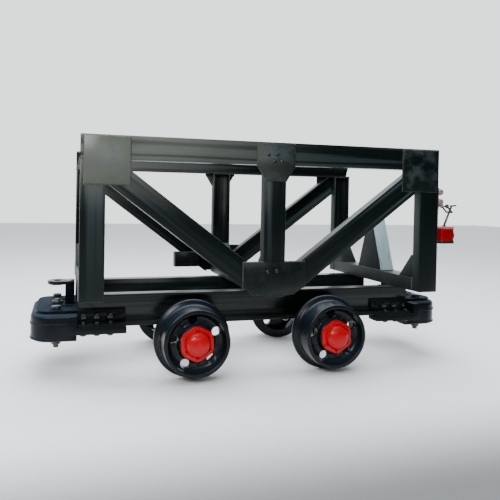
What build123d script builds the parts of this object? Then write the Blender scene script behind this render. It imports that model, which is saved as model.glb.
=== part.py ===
from build123d import *
import os
from math import atan2, cos, degrees, radians, sin

os.makedirs("parts", exist_ok=True)

# Mine cart for carrying timber, pipes and supplies: an open truss-sided wagon for 600 mm track.
# X runs along the track, Y across it, Z up. The origin is under the middle of the cart, on the
# level of the wheel flanges, which it stands on when it is off the rails. Sizes in millimetres.

# ---- driving dimensions -------------------------------------------------------------------------
WEB_OUT = 432.0             # outer face of a side truss, from the middle of the cart
TRUSS_HALF = 831.0          # half length of a side truss
TRUSS_TOP = 1051.0          # top of the top chord
SECTION_H = 100.0           # truss channel: depth of the web
SECTION_B = 48.0            # truss channel: width over the flanges
SECTION_WEB = 5.3
SECTION_FLANGE = 8.0
DIAGONAL_TOP_DROP = 52.75   # from the truss top down to a diagonal's middle line, at the truss end
DIAGONAL_FOOT_Z = 375.0     # where the middle lines of two diagonals meet

GUSSET_T = 8.0
CORNER_GUSSET_W = 184.0
CORNER_GUSSET_H = 193.0
CORNER_GUSSET_INSET = 14.0
GUSSET_TOP_INSET = 7.0
MID_GUSSET_HALF = 87.0
MID_GUSSET_SIDE = 100.0
MID_GUSSET_TAPER = 60.0
FOOT_GUSSET_HALF = 143.0
FOOT_GUSSET_H = 146.0
FOOT_GUSSET_TAPER = 34.0
FOOT_GUSSET_TOE = 64.0

WHEEL_CENTRE_X = 330.0      # half the wheelbase
TREAD_R = 150.0
FLANGE_R = 175.0
WHEEL_BACK_Y = 277.0
WHEEL_FRONT_Y = 400.0
WHEEL_FLANGE_T = 26.0
TREAD_CONE = 2.5
FLANGE_BACK_BEVEL = (9.0, 7.0)     # inwards from the rim and outwards from the back
FLANGE_CREST_T = 15.0       # flat part of the flange and the bevel behind it
FLANGE_BEVEL = (6.0, 4.0)
THROAT = (7.0, 9.0)         # root between flange and tread: up the flange and along the tread
RIM_BEVEL = 4.0
DISC_ROOT = (12.0, 6.0)     # slope between the disc and the inside of the rim
BACK_ROOT = 10.0
HUB_BACK_STEP = 14.0
RIM_T = 21.0
DISC_Y = 346.0
DISC_T = 15.0
HUB_R = 76.0
HUB_BACK_Y = 290.0
HUB_FRONT_Y = 385.0
WINDOW_R = 21.0
WINDOW_PITCH_R = 101.5
WINDOW_COUNT = 5
WINDOW_PHASE = 26.0         # where the first window stands, in degrees

AXLE_R = 30.0
AXLE_SHOULDER_Y = 283.0
JOURNAL_R = 25.0
THREAD_R = 20.0
THREAD_LENGTH = 23.0
BEARING_OUTER_R = 45.0
BEARING_SPLIT_R = 31.0
BEARING_WIDTH = 20.0
INNER_BEARING_Y = 302.0
OUTER_BEARING_Y = 352.0
SPACER_R = 29.0
NUT_AF = 52.0
NUT_WIDTH = 16.0

CAP_FLANGE_T = 10.0
CAP_LOBE_R = 15.0
CAP_BOLT_PITCH_R = 60.0
CAP_BOLT_COUNT = 6
CAP_BOLT_R = 4.0
CAP_BOLT_DEPTH = 20.0
CAP_BOLT_END_GAP = 1.0
CAP_BOLT_HEAD_AF = 14.0
CAP_BOLT_HEAD_H = 7.0
CAP_DOME_R = 47.0
CAP_DOME_H = 35.0
CAP_WALL = 5.0
CAP_FLANGE_R = 65.0
CAP_DOME_STEP = 15          # degrees between two corners of the dome's outline

LONG_TOP = 375.0            # top of the two longitudinals of the underframe
LONG_H = 140.0
LONG_TIP_Y = 255.0
LONG_B = 60.0
LONG_WEB = 7.0
LONG_FLANGE = 9.0

BEARER_H = 62.0
BEARER_T = 6.0
BRACE_SIZE = 110.0
BRACE_TOP = 18.0
BRACE_T = 8.0
BRACE_SIDE_GAP = 5.0
STANCHION_T = 78.0
STANCHION_INSET = 9.0
STANCHION_HALF = 112.0
STANCHION_TIP_HALF = 10.0
STANCHION_H = 300.0
STANCHION_WALL = 6.0
STANCHION_FOOT_WALL = 6.6
SIDE_BOX_X = -285.0
SIDE_BOX_L = 138.0
SIDE_BOX_B = 55.0
SIDE_BOX_Z = 417.0
SIDE_BOX_H = 82.0

BUFFER_LENGTH = 199.0       # how far a buffer stands out of the underframe
BUFFER_HALF = 215.0
BUFFER_CORNER_R = 88.0
BUFFER_BOTTOM = 163.0
BUFFER_H = 122.0
BUFFER_EDGE_R = 20.0
MOUTH_HALF = 95.0
MOUTH_DEPTH = 170.0
MOUTH_Z = 190.0
MOUTH_H = 38.0
COVER_T = 12.0
COVER_INSET = 22.0
TAIL_LENGTH = 211.0
TAIL_T = 30.0
TAIL_LIP = 12.0
TAIL_UPRIGHT_T = 12.0
TAIL_UPRIGHT_H = 60.0
TAIL_BOLT_R = 8.0
TAIL_BOLT_AF = 24.0
TAIL_BOLT_HEAD_H = 11.0
TAIL_BOLT_FIRST = 27.0
TAIL_BOLT_PITCH = 58.0
TAIL_BOLT_COUNT = 3

THROUGH_BOLT_R = 12.0
THROUGH_BOLT_AF = 36.0
THROUGH_BOLT_HEAD_H = 17.0
THROUGH_BOLT_X = 89.0       # from the end of the underframe
THROUGH_BOLT_Y = 158.0
THROUGH_BOLT_TIP = 12.0

PIN_X = 86.0                # coupling pin, from the end of the underframe
PIN_R = 16.0
PIN_BOTTOM = 150.0
PIN_LENGTH = 168.0
PIN_COLLAR_R = 24.0
PIN_COLLAR_T = 12.0
PIN_BEVEL = 5.0
PIN_LIFT = 80.0
KEEPER_T = 14.0
KEEPER_EYE_R = 46.0
KEEPER_STEM_HALF = 38.0
KEEPER_STEM_X = 9.0
KEEPER_STEM_T = 42.0

SEAT_HALF = 52.0
SEAT_BASE_HALF = 98.0
SEAT_BASE_T = 12.0
SEAT_WALL = 10.0
SEAT_DEPTH_Y = 67.0
SEAT_BOLT_X = 77.0
SEAT_BOLT_R = 7.0
SEAT_BOLT_AF = 22.0
SEAT_BOLT_HEAD_H = 9.0

LAMP_PLATE_T = 6.0
LAMP_PLATE_B = 40.0
LAMP_PLATE_Z = 768.0
LAMP_PLATE_H = 104.0
LAMP_KNOB_R = 13.0
LAMP_KNOB_L = 26.0
LAMP_KNOB_BEVEL = 2.6
LAMP_KNOB_STUD_R = 5.0
LAMP_KNOB_Z = (804.0, 851.0)
LAMP_ARM_R = 5.0
LAMP_HANG_X = 53.0          # from the end face of the truss to the pin that the lamp hangs from
LAMP_HANG_Z = 784.0
LAMP_PIN_R = 4.0
LAMP_PIN_L = 44.0
LAMP_FORK_T = 5.0
LAMP_FORK_EYE_R = 9.6
LAMP_FORK_GAP = 1.0         # between a fork side and the end of its pin
LAMP_STUD_R = 9.9
LAMP_BAIL_R = 4.5
LAMP_BAIL_TIP_R = 3.6
LAMP_BAIL_OUT = 28.0
LAMP_BOX_X = 71.0
LAMP_BOX_Y = 58.0
LAMP_BOX_TOP = 682.0
LAMP_BOX_H = 74.0
LAMP_BOX_R = 6.0
LAMP_LENS_R = 25.0
LAMP_LENS_T = 7.0
LAMP_LENS_SEAT = 2.0
LAMP_LENS_BEVEL = 3.5

# How far a cutting body reaches past the face that it cuts
CUT = 1.0

# ---- named clearances ---------------------------------------------------------------------------
RUNNING = 0.06              # radial running clearance of a bearing
BOLT_GAP = 0.3              # radial clearance of a bolt in its hole
PIN_GAP = 1.0               # radial clearance of a coupling pin
REST_GAP = 0.3              # between two bodies that lie on each other
JOURNAL_GAP = 2.0           # wheel hub to axle, behind the inner bearing
KEEPER_GAP = 1.0            # left above the collar of a fully lifted pin

# ---- places worked out from the driving dimensions ----------------------------------------------
AXLE_Z = FLANGE_R
FLANGE_TIP_Y = WEB_OUT - SECTION_B
POST_INNER_X = TRUSS_HALF - SECTION_H
DIAGONAL_RISE = (TRUSS_TOP - DIAGONAL_TOP_DROP - DIAGONAL_FOOT_Z) / TRUSS_HALF   # over its run
CHORD_BOTTOM = TRUSS_TOP - SECTION_H
LONG_BOTTOM = LONG_TOP - LONG_H
LONG_WEB_Y = LONG_TIP_Y - LONG_B
BEARER_TOP = LONG_TOP + BEARER_H
BUFFER_TOP = BUFFER_BOTTOM + BUFFER_H
COVER_TOP = BUFFER_TOP + COVER_T
BUFFER_PIN_X = TRUSS_HALF + PIN_X
KEEPER_Z = COVER_TOP + REST_GAP + PIN_COLLAR_T + PIN_LIFT + KEEPER_GAP
SEAT_TOP = LONG_BOTTOM
BEARING_YS = (INNER_BEARING_Y, OUTER_BEARING_Y)
JOURNAL_END_Y = OUTER_BEARING_Y + BEARING_WIDTH
LAMP_Y = SECTION_B / 2 - WEB_OUT
ENDS = {"left": -1, "right": 1}
SIDES = {"near": -1, "far": 1}


def block(x0, x1, y0, y1, z0, z1):
    """A box between two corners, given in any order."""
    middle = Pos((x0 + x1) / 2, (y0 + y1) / 2, (z0 + z1) / 2)
    return middle * Box(abs(x1 - x0), abs(y1 - y0), abs(z1 - z0))


def rod(axis, place, radius, start, end):
    """A cylinder along X, Y or Z, from start to end; place holds the other two coordinates."""
    mid = (start + end) / 2
    turn = {"x": Rot(0, 90, 0), "y": Rot(90, 0, 0), "z": Rot(0, 0, 0)}[axis]
    at = {"x": (mid, *place), "y": (place[0], mid, place[1]), "z": (*place, mid)}[axis]
    return Pos(*at) * turn * Cylinder(radius, abs(end - start))


def hexagon(axis, place, across_flats, start, end):
    """A hexagonal bolt head or nut along X, Y or Z."""
    mid = (start + end) / 2
    turn = {"x": Rot(0, 90, 0), "y": Rot(90, 0, 0), "z": Rot(0, 0, 0)}[axis]
    at = {"x": (mid, *place), "y": (place[0], mid, place[1]), "z": (*place, mid)}[axis]
    height = abs(end - start)
    prism = extrude(RegularPolygon(across_flats / 2, 6, major_radius=False), height)
    return Pos(*at) * turn * Pos(0, 0, -height / 2) * prism


def plate_xz(points, y0, y1):
    """A plate with its outline in X and Z, from y0 to y1."""
    outline = make_face(Polyline(*[(x, 0, z) for x, z in points], close=True))
    return Pos(0, max(y0, y1), 0) * extrude(outline, abs(y1 - y0), dir=(0, -1, 0))


def plate_yz(points, x0, x1):
    """A plate with its outline in Y and Z, from x0 to x1."""
    outline = make_face(Polyline(*[(0, y, z) for y, z in points], close=True))
    return Pos(min(x0, x1), 0, 0) * extrude(outline, abs(x1 - x0), dir=(1, 0, 0))


def spun(points, x, side):
    """A turned piece about an axle line; points are radius and distance from the middle."""
    outline = make_face(Polyline(*[(r, side * y, 0) for r, y in points], close=True))
    return Pos(x, 0, AXLE_Z) * revolve(outline, Axis.Y, 360)


def save(name, *pieces):
    """Write one node; several solids in it stay separate."""
    solids = [solid for piece in pieces for solid in piece.solids()]
    shape = solids[0] if len(solids) == 1 else Compound(children=solids)
    export_step(shape, f"parts/{name}.step")


# ---- side trusses -------------------------------------------------------------------------------
def channel_x(side, x0, x1, z0, z1):
    """Truss channel lying along X, its web outwards."""
    whole = block(x0, x1, side * WEB_OUT, side * FLANGE_TIP_Y, z0, z1)
    inside = block(x0 - CUT, x1 + CUT, side * (WEB_OUT - SECTION_WEB), side * (FLANGE_TIP_Y - CUT),
                   z0 + SECTION_FLANGE, z1 - SECTION_FLANGE)
    return whole - inside


def channel_z(side, x_mid, z0, z1):
    """Truss channel standing up, its web outwards."""
    half = SECTION_H / 2
    whole = block(x_mid - half, x_mid + half, side * WEB_OUT, side * FLANGE_TIP_Y, z0, z1)
    inside = block(x_mid - half + SECTION_FLANGE, x_mid + half - SECTION_FLANGE,
                   side * (WEB_OUT - SECTION_WEB), side * (FLANGE_TIP_Y - CUT), z0 - CUT, z1 + CUT)
    return whole - inside


def diagonal(side, end):
    """Truss channel from a top corner down to the foot of the middle post, cut to fit both."""
    angle = degrees(atan2(DIAGONAL_RISE, 1.0))
    run = TRUSS_HALF
    straight = channel_x(side, -run, run, -SECTION_H / 2, SECTION_H / 2)
    leaning = Rot(0, -end * angle, 0) * straight
    placed = Pos(end * run / 2, 0, DIAGONAL_FOOT_Z + DIAGONAL_RISE * run / 2) * leaning
    foot_z = LONG_TOP + SECTION_FLANGE
    room = block(end * SECTION_H / 2, end * POST_INNER_X, side * (WEB_OUT + CUT),
                 side * (FLANGE_TIP_Y - CUT), foot_z, CHORD_BOTTOM)
    return placed & room


def gussets(side):
    """The plates on the outside of a truss: two at the corners, two on the middle post."""
    y0, y1 = side * WEB_OUT, side * (WEB_OUT + GUSSET_T)
    top = TRUSS_TOP - GUSSET_TOP_INSET
    corner_x = TRUSS_HALF - CORNER_GUSSET_INSET
    plates = []
    for end in ENDS.values():
        plates.append(block(end * corner_x, end * (corner_x - CORNER_GUSSET_W), y0, y1,
                            top - CORNER_GUSSET_H, top))
    side_z = top - MID_GUSSET_SIDE
    half = SECTION_H / 2
    middle = [(-MID_GUSSET_HALF, top), (MID_GUSSET_HALF, top), (MID_GUSSET_HALF, side_z),
              (half, side_z - MID_GUSSET_TAPER), (-half, side_z - MID_GUSSET_TAPER),
              (-MID_GUSSET_HALF, side_z)]
    plates.append(plate_xz(middle, y0, y1))
    toe = LONG_TOP + SECTION_FLANGE
    wide = FOOT_GUSSET_HALF
    foot = [(-wide, toe + FOOT_GUSSET_H), (wide, toe + FOOT_GUSSET_H),
            (wide, toe + FOOT_GUSSET_TAPER), (FOOT_GUSSET_TOE, toe),
            (-FOOT_GUSSET_TOE, toe), (-wide, toe + FOOT_GUSSET_TAPER)]
    plates.append(plate_xz(foot, y0, y1))
    return plates


def build_truss(name, side):
    half = SECTION_H / 2
    save(f"{name}_top_chord", channel_x(side, -TRUSS_HALF, TRUSS_HALF, CHORD_BOTTOM, TRUSS_TOP))
    for end_name, end in ENDS.items():
        post_x = end * (TRUSS_HALF - half)
        save(f"{name}_{end_name}_post", channel_z(side, post_x, LONG_TOP, CHORD_BOTTOM))
        save(f"{name}_{end_name}_diagonal", diagonal(side, end))
    save(f"{name}_mid_post", channel_z(side, 0, LONG_TOP, CHORD_BOTTOM))
    save(f"{name}_gussets", *gussets(side))


# ---- underframe ---------------------------------------------------------------------------------
def tail_bolt_xs(end):
    return [end * (TRUSS_HALF - TAIL_BOLT_FIRST - i * TAIL_BOLT_PITCH) for i in range(TAIL_BOLT_COUNT)]


def seat_bolt_xs():
    return [axle * WHEEL_CENTRE_X + bolt * SEAT_BOLT_X for axle in (-1, 1) for bolt in (-1, 1)]


TAIL_BOLT_Y = LONG_WEB_Y + LONG_WEB + TAIL_UPRIGHT_T + (LONG_B - LONG_WEB - TAIL_UPRIGHT_T) / 2
TAIL_BOLT_Z = LONG_BOTTOM + LONG_FLANGE + TAIL_UPRIGHT_H / 2
SEAT_BOLT_Y = LONG_WEB_Y + LONG_WEB + (LONG_B - LONG_WEB) / 2


def longitudinal(side):
    """Channel of the underframe, open outwards, with its bolt holes."""
    whole = block(-TRUSS_HALF, TRUSS_HALF, side * LONG_WEB_Y, side * LONG_TIP_Y, LONG_BOTTOM, LONG_TOP)
    whole -= block(-TRUSS_HALF - CUT, TRUSS_HALF + CUT, side * (LONG_WEB_Y + LONG_WEB),
                   side * (LONG_TIP_Y + CUT), LONG_BOTTOM + LONG_FLANGE, LONG_TOP - LONG_FLANGE)
    flange = (LONG_BOTTOM - CUT, LONG_BOTTOM + LONG_FLANGE + CUT)
    for end in ENDS.values():
        for x in tail_bolt_xs(end):
            whole -= rod("z", (x, side * TAIL_BOLT_Y), TAIL_BOLT_R + BOLT_GAP, *flange)
            whole -= rod("y", (x, TAIL_BOLT_Z), TAIL_BOLT_R + BOLT_GAP,
                         side * (LONG_WEB_Y - CUT), side * (LONG_WEB_Y + LONG_WEB + CUT))
    for x in seat_bolt_xs():
        whole -= rod("z", (x, side * SEAT_BOLT_Y), SEAT_BOLT_R + BOLT_GAP, *flange)
    return whole


def bearer(x_mid):
    """Cross member that joins the two trusses and lies on the longitudinals."""
    half = SECTION_H / 2
    whole = block(x_mid - half, x_mid + half, -FLANGE_TIP_Y, FLANGE_TIP_Y, LONG_TOP, BEARER_TOP)
    return whole - block(x_mid - half + BEARER_T, x_mid + half - BEARER_T, -FLANGE_TIP_Y - CUT,
                         FLANGE_TIP_Y + CUT, LONG_TOP - CUT, BEARER_TOP - BEARER_T)


def brace(x_mid, side):
    """Knee between a bearer and a post, folded from plate."""
    half = SECTION_H / 2 - BRACE_SIDE_GAP
    out, low, high = FLANGE_TIP_Y, BEARER_TOP, BEARER_TOP + BRACE_SIZE
    shape = [(side * out, low), (side * out, high), (side * (out - BRACE_TOP), high),
             (side * (out - BRACE_SIZE), low)]
    hollow = [(side * (out + CUT), low - CUT), (side * (out + CUT), high - BRACE_T),
              (side * (out - BRACE_TOP + BRACE_T / 2), high - BRACE_T),
              (side * (out - BRACE_SIZE + 1.5 * BRACE_T), low - CUT)]
    skin = plate_yz(shape, x_mid - half, x_mid + half)
    return skin - plate_yz(hollow, x_mid - half + BRACE_T, x_mid + half - BRACE_T)


def stanchion(end):
    """A-shaped stanchion on an end bearer, a closed box of plate."""
    face = POST_INNER_X + STANCHION_INSET
    top = BEARER_TOP + STANCHION_H
    lean = (STANCHION_HALF - STANCHION_TIP_HALF) / STANCHION_H
    wall = STANCHION_WALL
    shape = [(-STANCHION_HALF, BEARER_TOP), (-STANCHION_TIP_HALF, top), (STANCHION_TIP_HALF, top),
             (STANCHION_HALF, BEARER_TOP)]
    hollow_half = STANCHION_HALF - STANCHION_FOOT_WALL
    hollow_top = BEARER_TOP + hollow_half / lean - CUT
    hollow = [(-hollow_half, BEARER_TOP - CUT), (0, hollow_top), (hollow_half, BEARER_TOP - CUT)]
    skin = plate_yz(shape, end * face, end * (face + STANCHION_T))
    return skin - plate_yz(hollow, end * (face + wall), end * (face + STANCHION_T - wall))


def side_box():
    """Short closed box under the left diagonal of the far truss, welded to its flanges."""
    whole = block(SIDE_BOX_X, SIDE_BOX_X + SIDE_BOX_L, FLANGE_TIP_Y - SIDE_BOX_B, FLANGE_TIP_Y,
                  SIDE_BOX_Z, SIDE_BOX_Z + SIDE_BOX_H)
    return whole - block(SIDE_BOX_X + BEARER_T, SIDE_BOX_X + SIDE_BOX_L - BEARER_T,
                         FLANGE_TIP_Y - SIDE_BOX_B + BEARER_T, FLANGE_TIP_Y + CUT,
                         SIDE_BOX_Z + BEARER_T, SIDE_BOX_Z + SIDE_BOX_H - BEARER_T)


# ---- buffers and couplings ----------------------------------------------------------------------
def rounded_plan(end, inset, z0, z1):
    """Plan of a buffer: flat at the back, its two front corners rounded."""
    back, front = TRUSS_HALF, TRUSS_HALF + BUFFER_LENGTH - inset
    half = BUFFER_HALF - inset
    slab = block(end * back, end * front, -half, half, z0, z1)
    corners = slab.edges().filter_by(Axis.Z).sort_by(Axis.X)
    return fillet(corners[-2:] if end > 0 else corners[:2], BUFFER_CORNER_R - inset)


def buffer_body(end):
    """Cast buffer with its coupling mouth and the two tails that hold it to the longitudinals."""
    body = rounded_plan(end, 0, BUFFER_BOTTOM, BUFFER_TOP)
    rims = [edge for edge in body.faces().sort_by(Axis.Z)[-1].edges()
            if abs(edge.center().X) > TRUSS_HALF + CUT]
    rims += [edge for edge in body.faces().sort_by(Axis.Z)[0].edges()
             if abs(edge.center().X) > TRUSS_HALF + CUT]
    body = fillet(rims, BUFFER_EDGE_R)
    front = TRUSS_HALF + BUFFER_LENGTH
    body -= block(end * (front - MOUTH_DEPTH), end * (front + CUT), -MOUTH_HALF, MOUTH_HALF,
                  MOUTH_Z, MOUTH_Z + MOUTH_H)
    body -= rod("z", (end * BUFFER_PIN_X, 0), PIN_R + PIN_GAP, BUFFER_BOTTOM - CUT, BUFFER_TOP + CUT)
    tail_end = TRUSS_HALF - TAIL_LENGTH
    web_face = LONG_WEB_Y + LONG_WEB
    for side in SIDES.values():
        body += block(end * tail_end, end * (TRUSS_HALF + CUT), side * LONG_WEB_Y,
                      side * (LONG_TIP_Y + TAIL_LIP), LONG_BOTTOM - TAIL_T, LONG_BOTTOM)
        body += block(end * TRUSS_HALF, end * (TRUSS_HALF + TAIL_T), side * (BUFFER_HALF - TAIL_T),
                      side * (LONG_TIP_Y + TAIL_LIP), LONG_BOTTOM - TAIL_T, BUFFER_TOP)
        body += block(end * tail_end, end * (TRUSS_HALF + CUT), side * web_face,
                      side * (web_face + TAIL_UPRIGHT_T), LONG_BOTTOM + LONG_FLANGE,
                      LONG_BOTTOM + LONG_FLANGE + TAIL_UPRIGHT_H)
        body -= rod("z", (end * (TRUSS_HALF + THROUGH_BOLT_X), side * THROUGH_BOLT_Y),
                    THROUGH_BOLT_R + BOLT_GAP, BUFFER_BOTTOM - CUT, BUFFER_TOP + CUT)
        for x in tail_bolt_xs(end):
            body -= rod("z", (x, side * TAIL_BOLT_Y), TAIL_BOLT_R + BOLT_GAP,
                        LONG_BOTTOM - TAIL_T - CUT, LONG_BOTTOM + CUT)
            body -= rod("y", (x, TAIL_BOLT_Z), TAIL_BOLT_R + BOLT_GAP, side * (web_face - CUT),
                        side * (web_face + TAIL_UPRIGHT_T + CUT))
    return body


def buffer_cover(end):
    """Plate on top of a buffer, with the holes for the coupling pin and the through bolts."""
    cover = rounded_plan(end, COVER_INSET, BUFFER_TOP, COVER_TOP)
    cover -= rod("z", (end * BUFFER_PIN_X, 0), PIN_R + PIN_GAP, BUFFER_TOP - CUT, COVER_TOP + CUT)
    for side in SIDES.values():
        cover -= rod("z", (end * (TRUSS_HALF + THROUGH_BOLT_X), side * THROUGH_BOLT_Y),
                     THROUGH_BOLT_R + BOLT_GAP, BUFFER_TOP - CUT, COVER_TOP + CUT)
    return cover


def through_bolt(end, side):
    """Long vertical bolt through a buffer, with its head on the cover and its nut below."""
    place = (end * (TRUSS_HALF + THROUGH_BOLT_X), side * THROUGH_BOLT_Y)
    nut_low = BUFFER_BOTTOM - THROUGH_BOLT_HEAD_H
    bolt = rod("z", place, THROUGH_BOLT_R, nut_low - THROUGH_BOLT_TIP, COVER_TOP)
    bolt += hexagon("z", place, THROUGH_BOLT_AF, COVER_TOP, COVER_TOP + THROUGH_BOLT_HEAD_H)
    nut = hexagon("z", place, THROUGH_BOLT_AF, nut_low, BUFFER_BOTTOM)
    nut -= rod("z", place, THROUGH_BOLT_R, nut_low - CUT, BUFFER_BOTTOM + CUT)
    return [bolt, nut]


def tail_bolts(end, side):
    """Bolts that hold a buffer's tail to the lower flange and to the web of a longitudinal."""
    bolts = []
    web_face = LONG_WEB_Y + LONG_WEB
    low = LONG_BOTTOM - TAIL_T
    high = LONG_BOTTOM + LONG_FLANGE
    head_y = web_face + TAIL_UPRIGHT_T
    for x in tail_bolt_xs(end):
        place = (x, side * TAIL_BOLT_Y)
        upright = rod("z", place, TAIL_BOLT_R, low, high)
        upright += hexagon("z", place, TAIL_BOLT_AF, low - TAIL_BOLT_HEAD_H, low)
        upright += hexagon("z", place, TAIL_BOLT_AF, high, high + TAIL_BOLT_HEAD_H)
        place = (x, TAIL_BOLT_Z)
        level = rod("y", place, TAIL_BOLT_R, side * LONG_WEB_Y, side * head_y)
        level += hexagon("y", place, TAIL_BOLT_AF, side * head_y, side * (head_y + TAIL_BOLT_HEAD_H))
        level += hexagon("y", place, TAIL_BOLT_AF, side * LONG_WEB_Y,
                         side * (LONG_WEB_Y - TAIL_BOLT_HEAD_H))
        bolts += [upright, level]
    return bolts


def coupling_pin(end):
    """Loose pin that drops through the buffer and its link, resting on its collar."""
    place = (end * BUFFER_PIN_X, 0)
    collar = COVER_TOP + REST_GAP
    pin = rod("z", place, PIN_R, PIN_BOTTOM, PIN_BOTTOM + PIN_LENGTH)
    pin += rod("z", place, PIN_COLLAR_R, collar, collar + PIN_COLLAR_T)
    ends = pin.edges().filter_by(GeomType.CIRCLE).sort_by(Axis.Z)
    return chamfer([ends[0], ends[-1]], PIN_BEVEL)


def pin_keeper(end):
    """Eye plate on a stem above the buffer, which the lifted pin stands in."""
    x0 = TRUSS_HALF + KEEPER_STEM_X
    stem = block(end * x0, end * (x0 + KEEPER_STEM_T), -KEEPER_STEM_HALF, KEEPER_STEM_HALF,
                 COVER_TOP, KEEPER_Z)
    eye = block(end * x0, end * BUFFER_PIN_X, -KEEPER_EYE_R, KEEPER_EYE_R, KEEPER_Z, KEEPER_Z + KEEPER_T)
    eye += rod("z", (end * BUFFER_PIN_X, 0), KEEPER_EYE_R, KEEPER_Z, KEEPER_Z + KEEPER_T)
    eye -= rod("z", (end * BUFFER_PIN_X, 0), PIN_R + PIN_GAP, KEEPER_Z - CUT, KEEPER_Z + KEEPER_T + CUT)
    return stem + eye


# ---- axles and wheels ---------------------------------------------------------------------------
def axle(x):
    """Fixed axle: thick in the middle, a journal and a threaded end at each side."""
    end_y = JOURNAL_END_Y + THREAD_LENGTH
    bar = rod("y", (x, AXLE_Z), AXLE_R, -AXLE_SHOULDER_Y, AXLE_SHOULDER_Y)
    bar += rod("y", (x, AXLE_Z), JOURNAL_R, -JOURNAL_END_Y, JOURNAL_END_Y)
    bar += rod("y", (x, AXLE_Z), THREAD_R, -end_y, end_y)
    return bar


def axle_seat(x, side):
    """Pedestal under a longitudinal that holds the axle."""
    y0, y1 = side * (LONG_TIP_Y - SEAT_DEPTH_Y + SEAT_WALL), side * LONG_TIP_Y
    base = block(x - SEAT_BASE_HALF, x + SEAT_BASE_HALF, y0, y1, SEAT_TOP - SEAT_BASE_T, SEAT_TOP)
    base += block(x - SEAT_HALF, x + SEAT_HALF, y0, y1, AXLE_Z, SEAT_TOP)
    base += rod("y", (x, AXLE_Z), SEAT_HALF, y0, y1)
    base -= rod("y", (x, AXLE_Z), AXLE_R, y0 - side, y1 + side)
    for bolt in (-1, 1):
        base -= rod("z", (x + bolt * SEAT_BOLT_X, side * SEAT_BOLT_Y), SEAT_BOLT_R + BOLT_GAP,
                    SEAT_TOP - SEAT_BASE_T - CUT, SEAT_TOP + CUT)
    return base


def seat_bolt(x, side):
    low, high = SEAT_TOP - SEAT_BASE_T, LONG_BOTTOM + LONG_FLANGE
    place = (x, side * SEAT_BOLT_Y)
    bolt = rod("z", place, SEAT_BOLT_R, low, high)
    bolt += hexagon("z", place, SEAT_BOLT_AF, low - SEAT_BOLT_HEAD_H, low)
    return bolt + hexagon("z", place, SEAT_BOLT_AF, high, high + SEAT_BOLT_HEAD_H)


def ring(x, side, y, width, outer, inner):
    place = (x, AXLE_Z)
    tube = rod("y", place, outer, side * y, side * (y + width))
    return tube - rod("y", place, inner, side * (y - CUT), side * (y + width + CUT))


def axle_nut(x, side):
    y0, y1 = side * JOURNAL_END_Y, side * (JOURNAL_END_Y + NUT_WIDTH)
    nut = hexagon("y", (x, AXLE_Z), NUT_AF, y0, y1)
    return nut - rod("y", (x, AXLE_Z), THREAD_R, y0 - side, y1 + side)


def around(x, count, radius, phase=0.0):
    """Places in X and Z on a circle about an axle line."""
    angles = [radians(phase + i * 360.0 / count) for i in range(count)]
    return [(x + radius * cos(a), AXLE_Z + radius * sin(a)) for a in angles]


def wheel(x, side):
    """Cast wheel: flange at the back, coned tread, dished disc with windows, bored hub."""
    rim = TREAD_R - RIM_T
    tip = WHEEL_BACK_Y + WHEEL_FLANGE_T
    bore = JOURNAL_R + JOURNAL_GAP
    disc_face = DISC_Y + DISC_T
    profile = [
        (rim, WHEEL_BACK_Y), (FLANGE_R - FLANGE_BACK_BEVEL[0], WHEEL_BACK_Y),
        (FLANGE_R, WHEEL_BACK_Y + FLANGE_BACK_BEVEL[1]), (FLANGE_R, WHEEL_BACK_Y + FLANGE_CREST_T),
        (FLANGE_R - FLANGE_BEVEL[0], tip - FLANGE_BEVEL[1]), (TREAD_R + THROAT[0], tip),
        (TREAD_R, tip + THROAT[1]), (TREAD_R - TREAD_CONE, WHEEL_FRONT_Y - RIM_BEVEL),
        (TREAD_R - TREAD_CONE - RIM_BEVEL, WHEEL_FRONT_Y), (rim, WHEEL_FRONT_Y),
        (rim - RIM_BEVEL, disc_face + DISC_ROOT[1]), (rim - DISC_ROOT[0], disc_face),
        (HUB_R, disc_face), (HUB_R, HUB_FRONT_Y), (BEARING_OUTER_R, HUB_FRONT_Y),
        (BEARING_OUTER_R, INNER_BEARING_Y), (bore, INNER_BEARING_Y), (bore, HUB_BACK_Y),
        (HUB_R - HUB_BACK_STEP, HUB_BACK_Y), (HUB_R, DISC_Y), (rim - BACK_ROOT, DISC_Y),
        (rim, DISC_Y - BACK_ROOT),
    ]
    body = spun(profile, x, side)
    for place in around(x, WINDOW_COUNT, WINDOW_PITCH_R, WINDOW_PHASE):
        body -= rod("y", place, WINDOW_R, side * (DISC_Y - CUT), side * (disc_face + CUT))
    for place in around(x, CAP_BOLT_COUNT, CAP_BOLT_PITCH_R):
        body -= rod("y", place, CAP_BOLT_R + BOLT_GAP, side * (HUB_FRONT_Y - CAP_BOLT_DEPTH),
                    side * (HUB_FRONT_Y + CUT))
    return body


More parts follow.
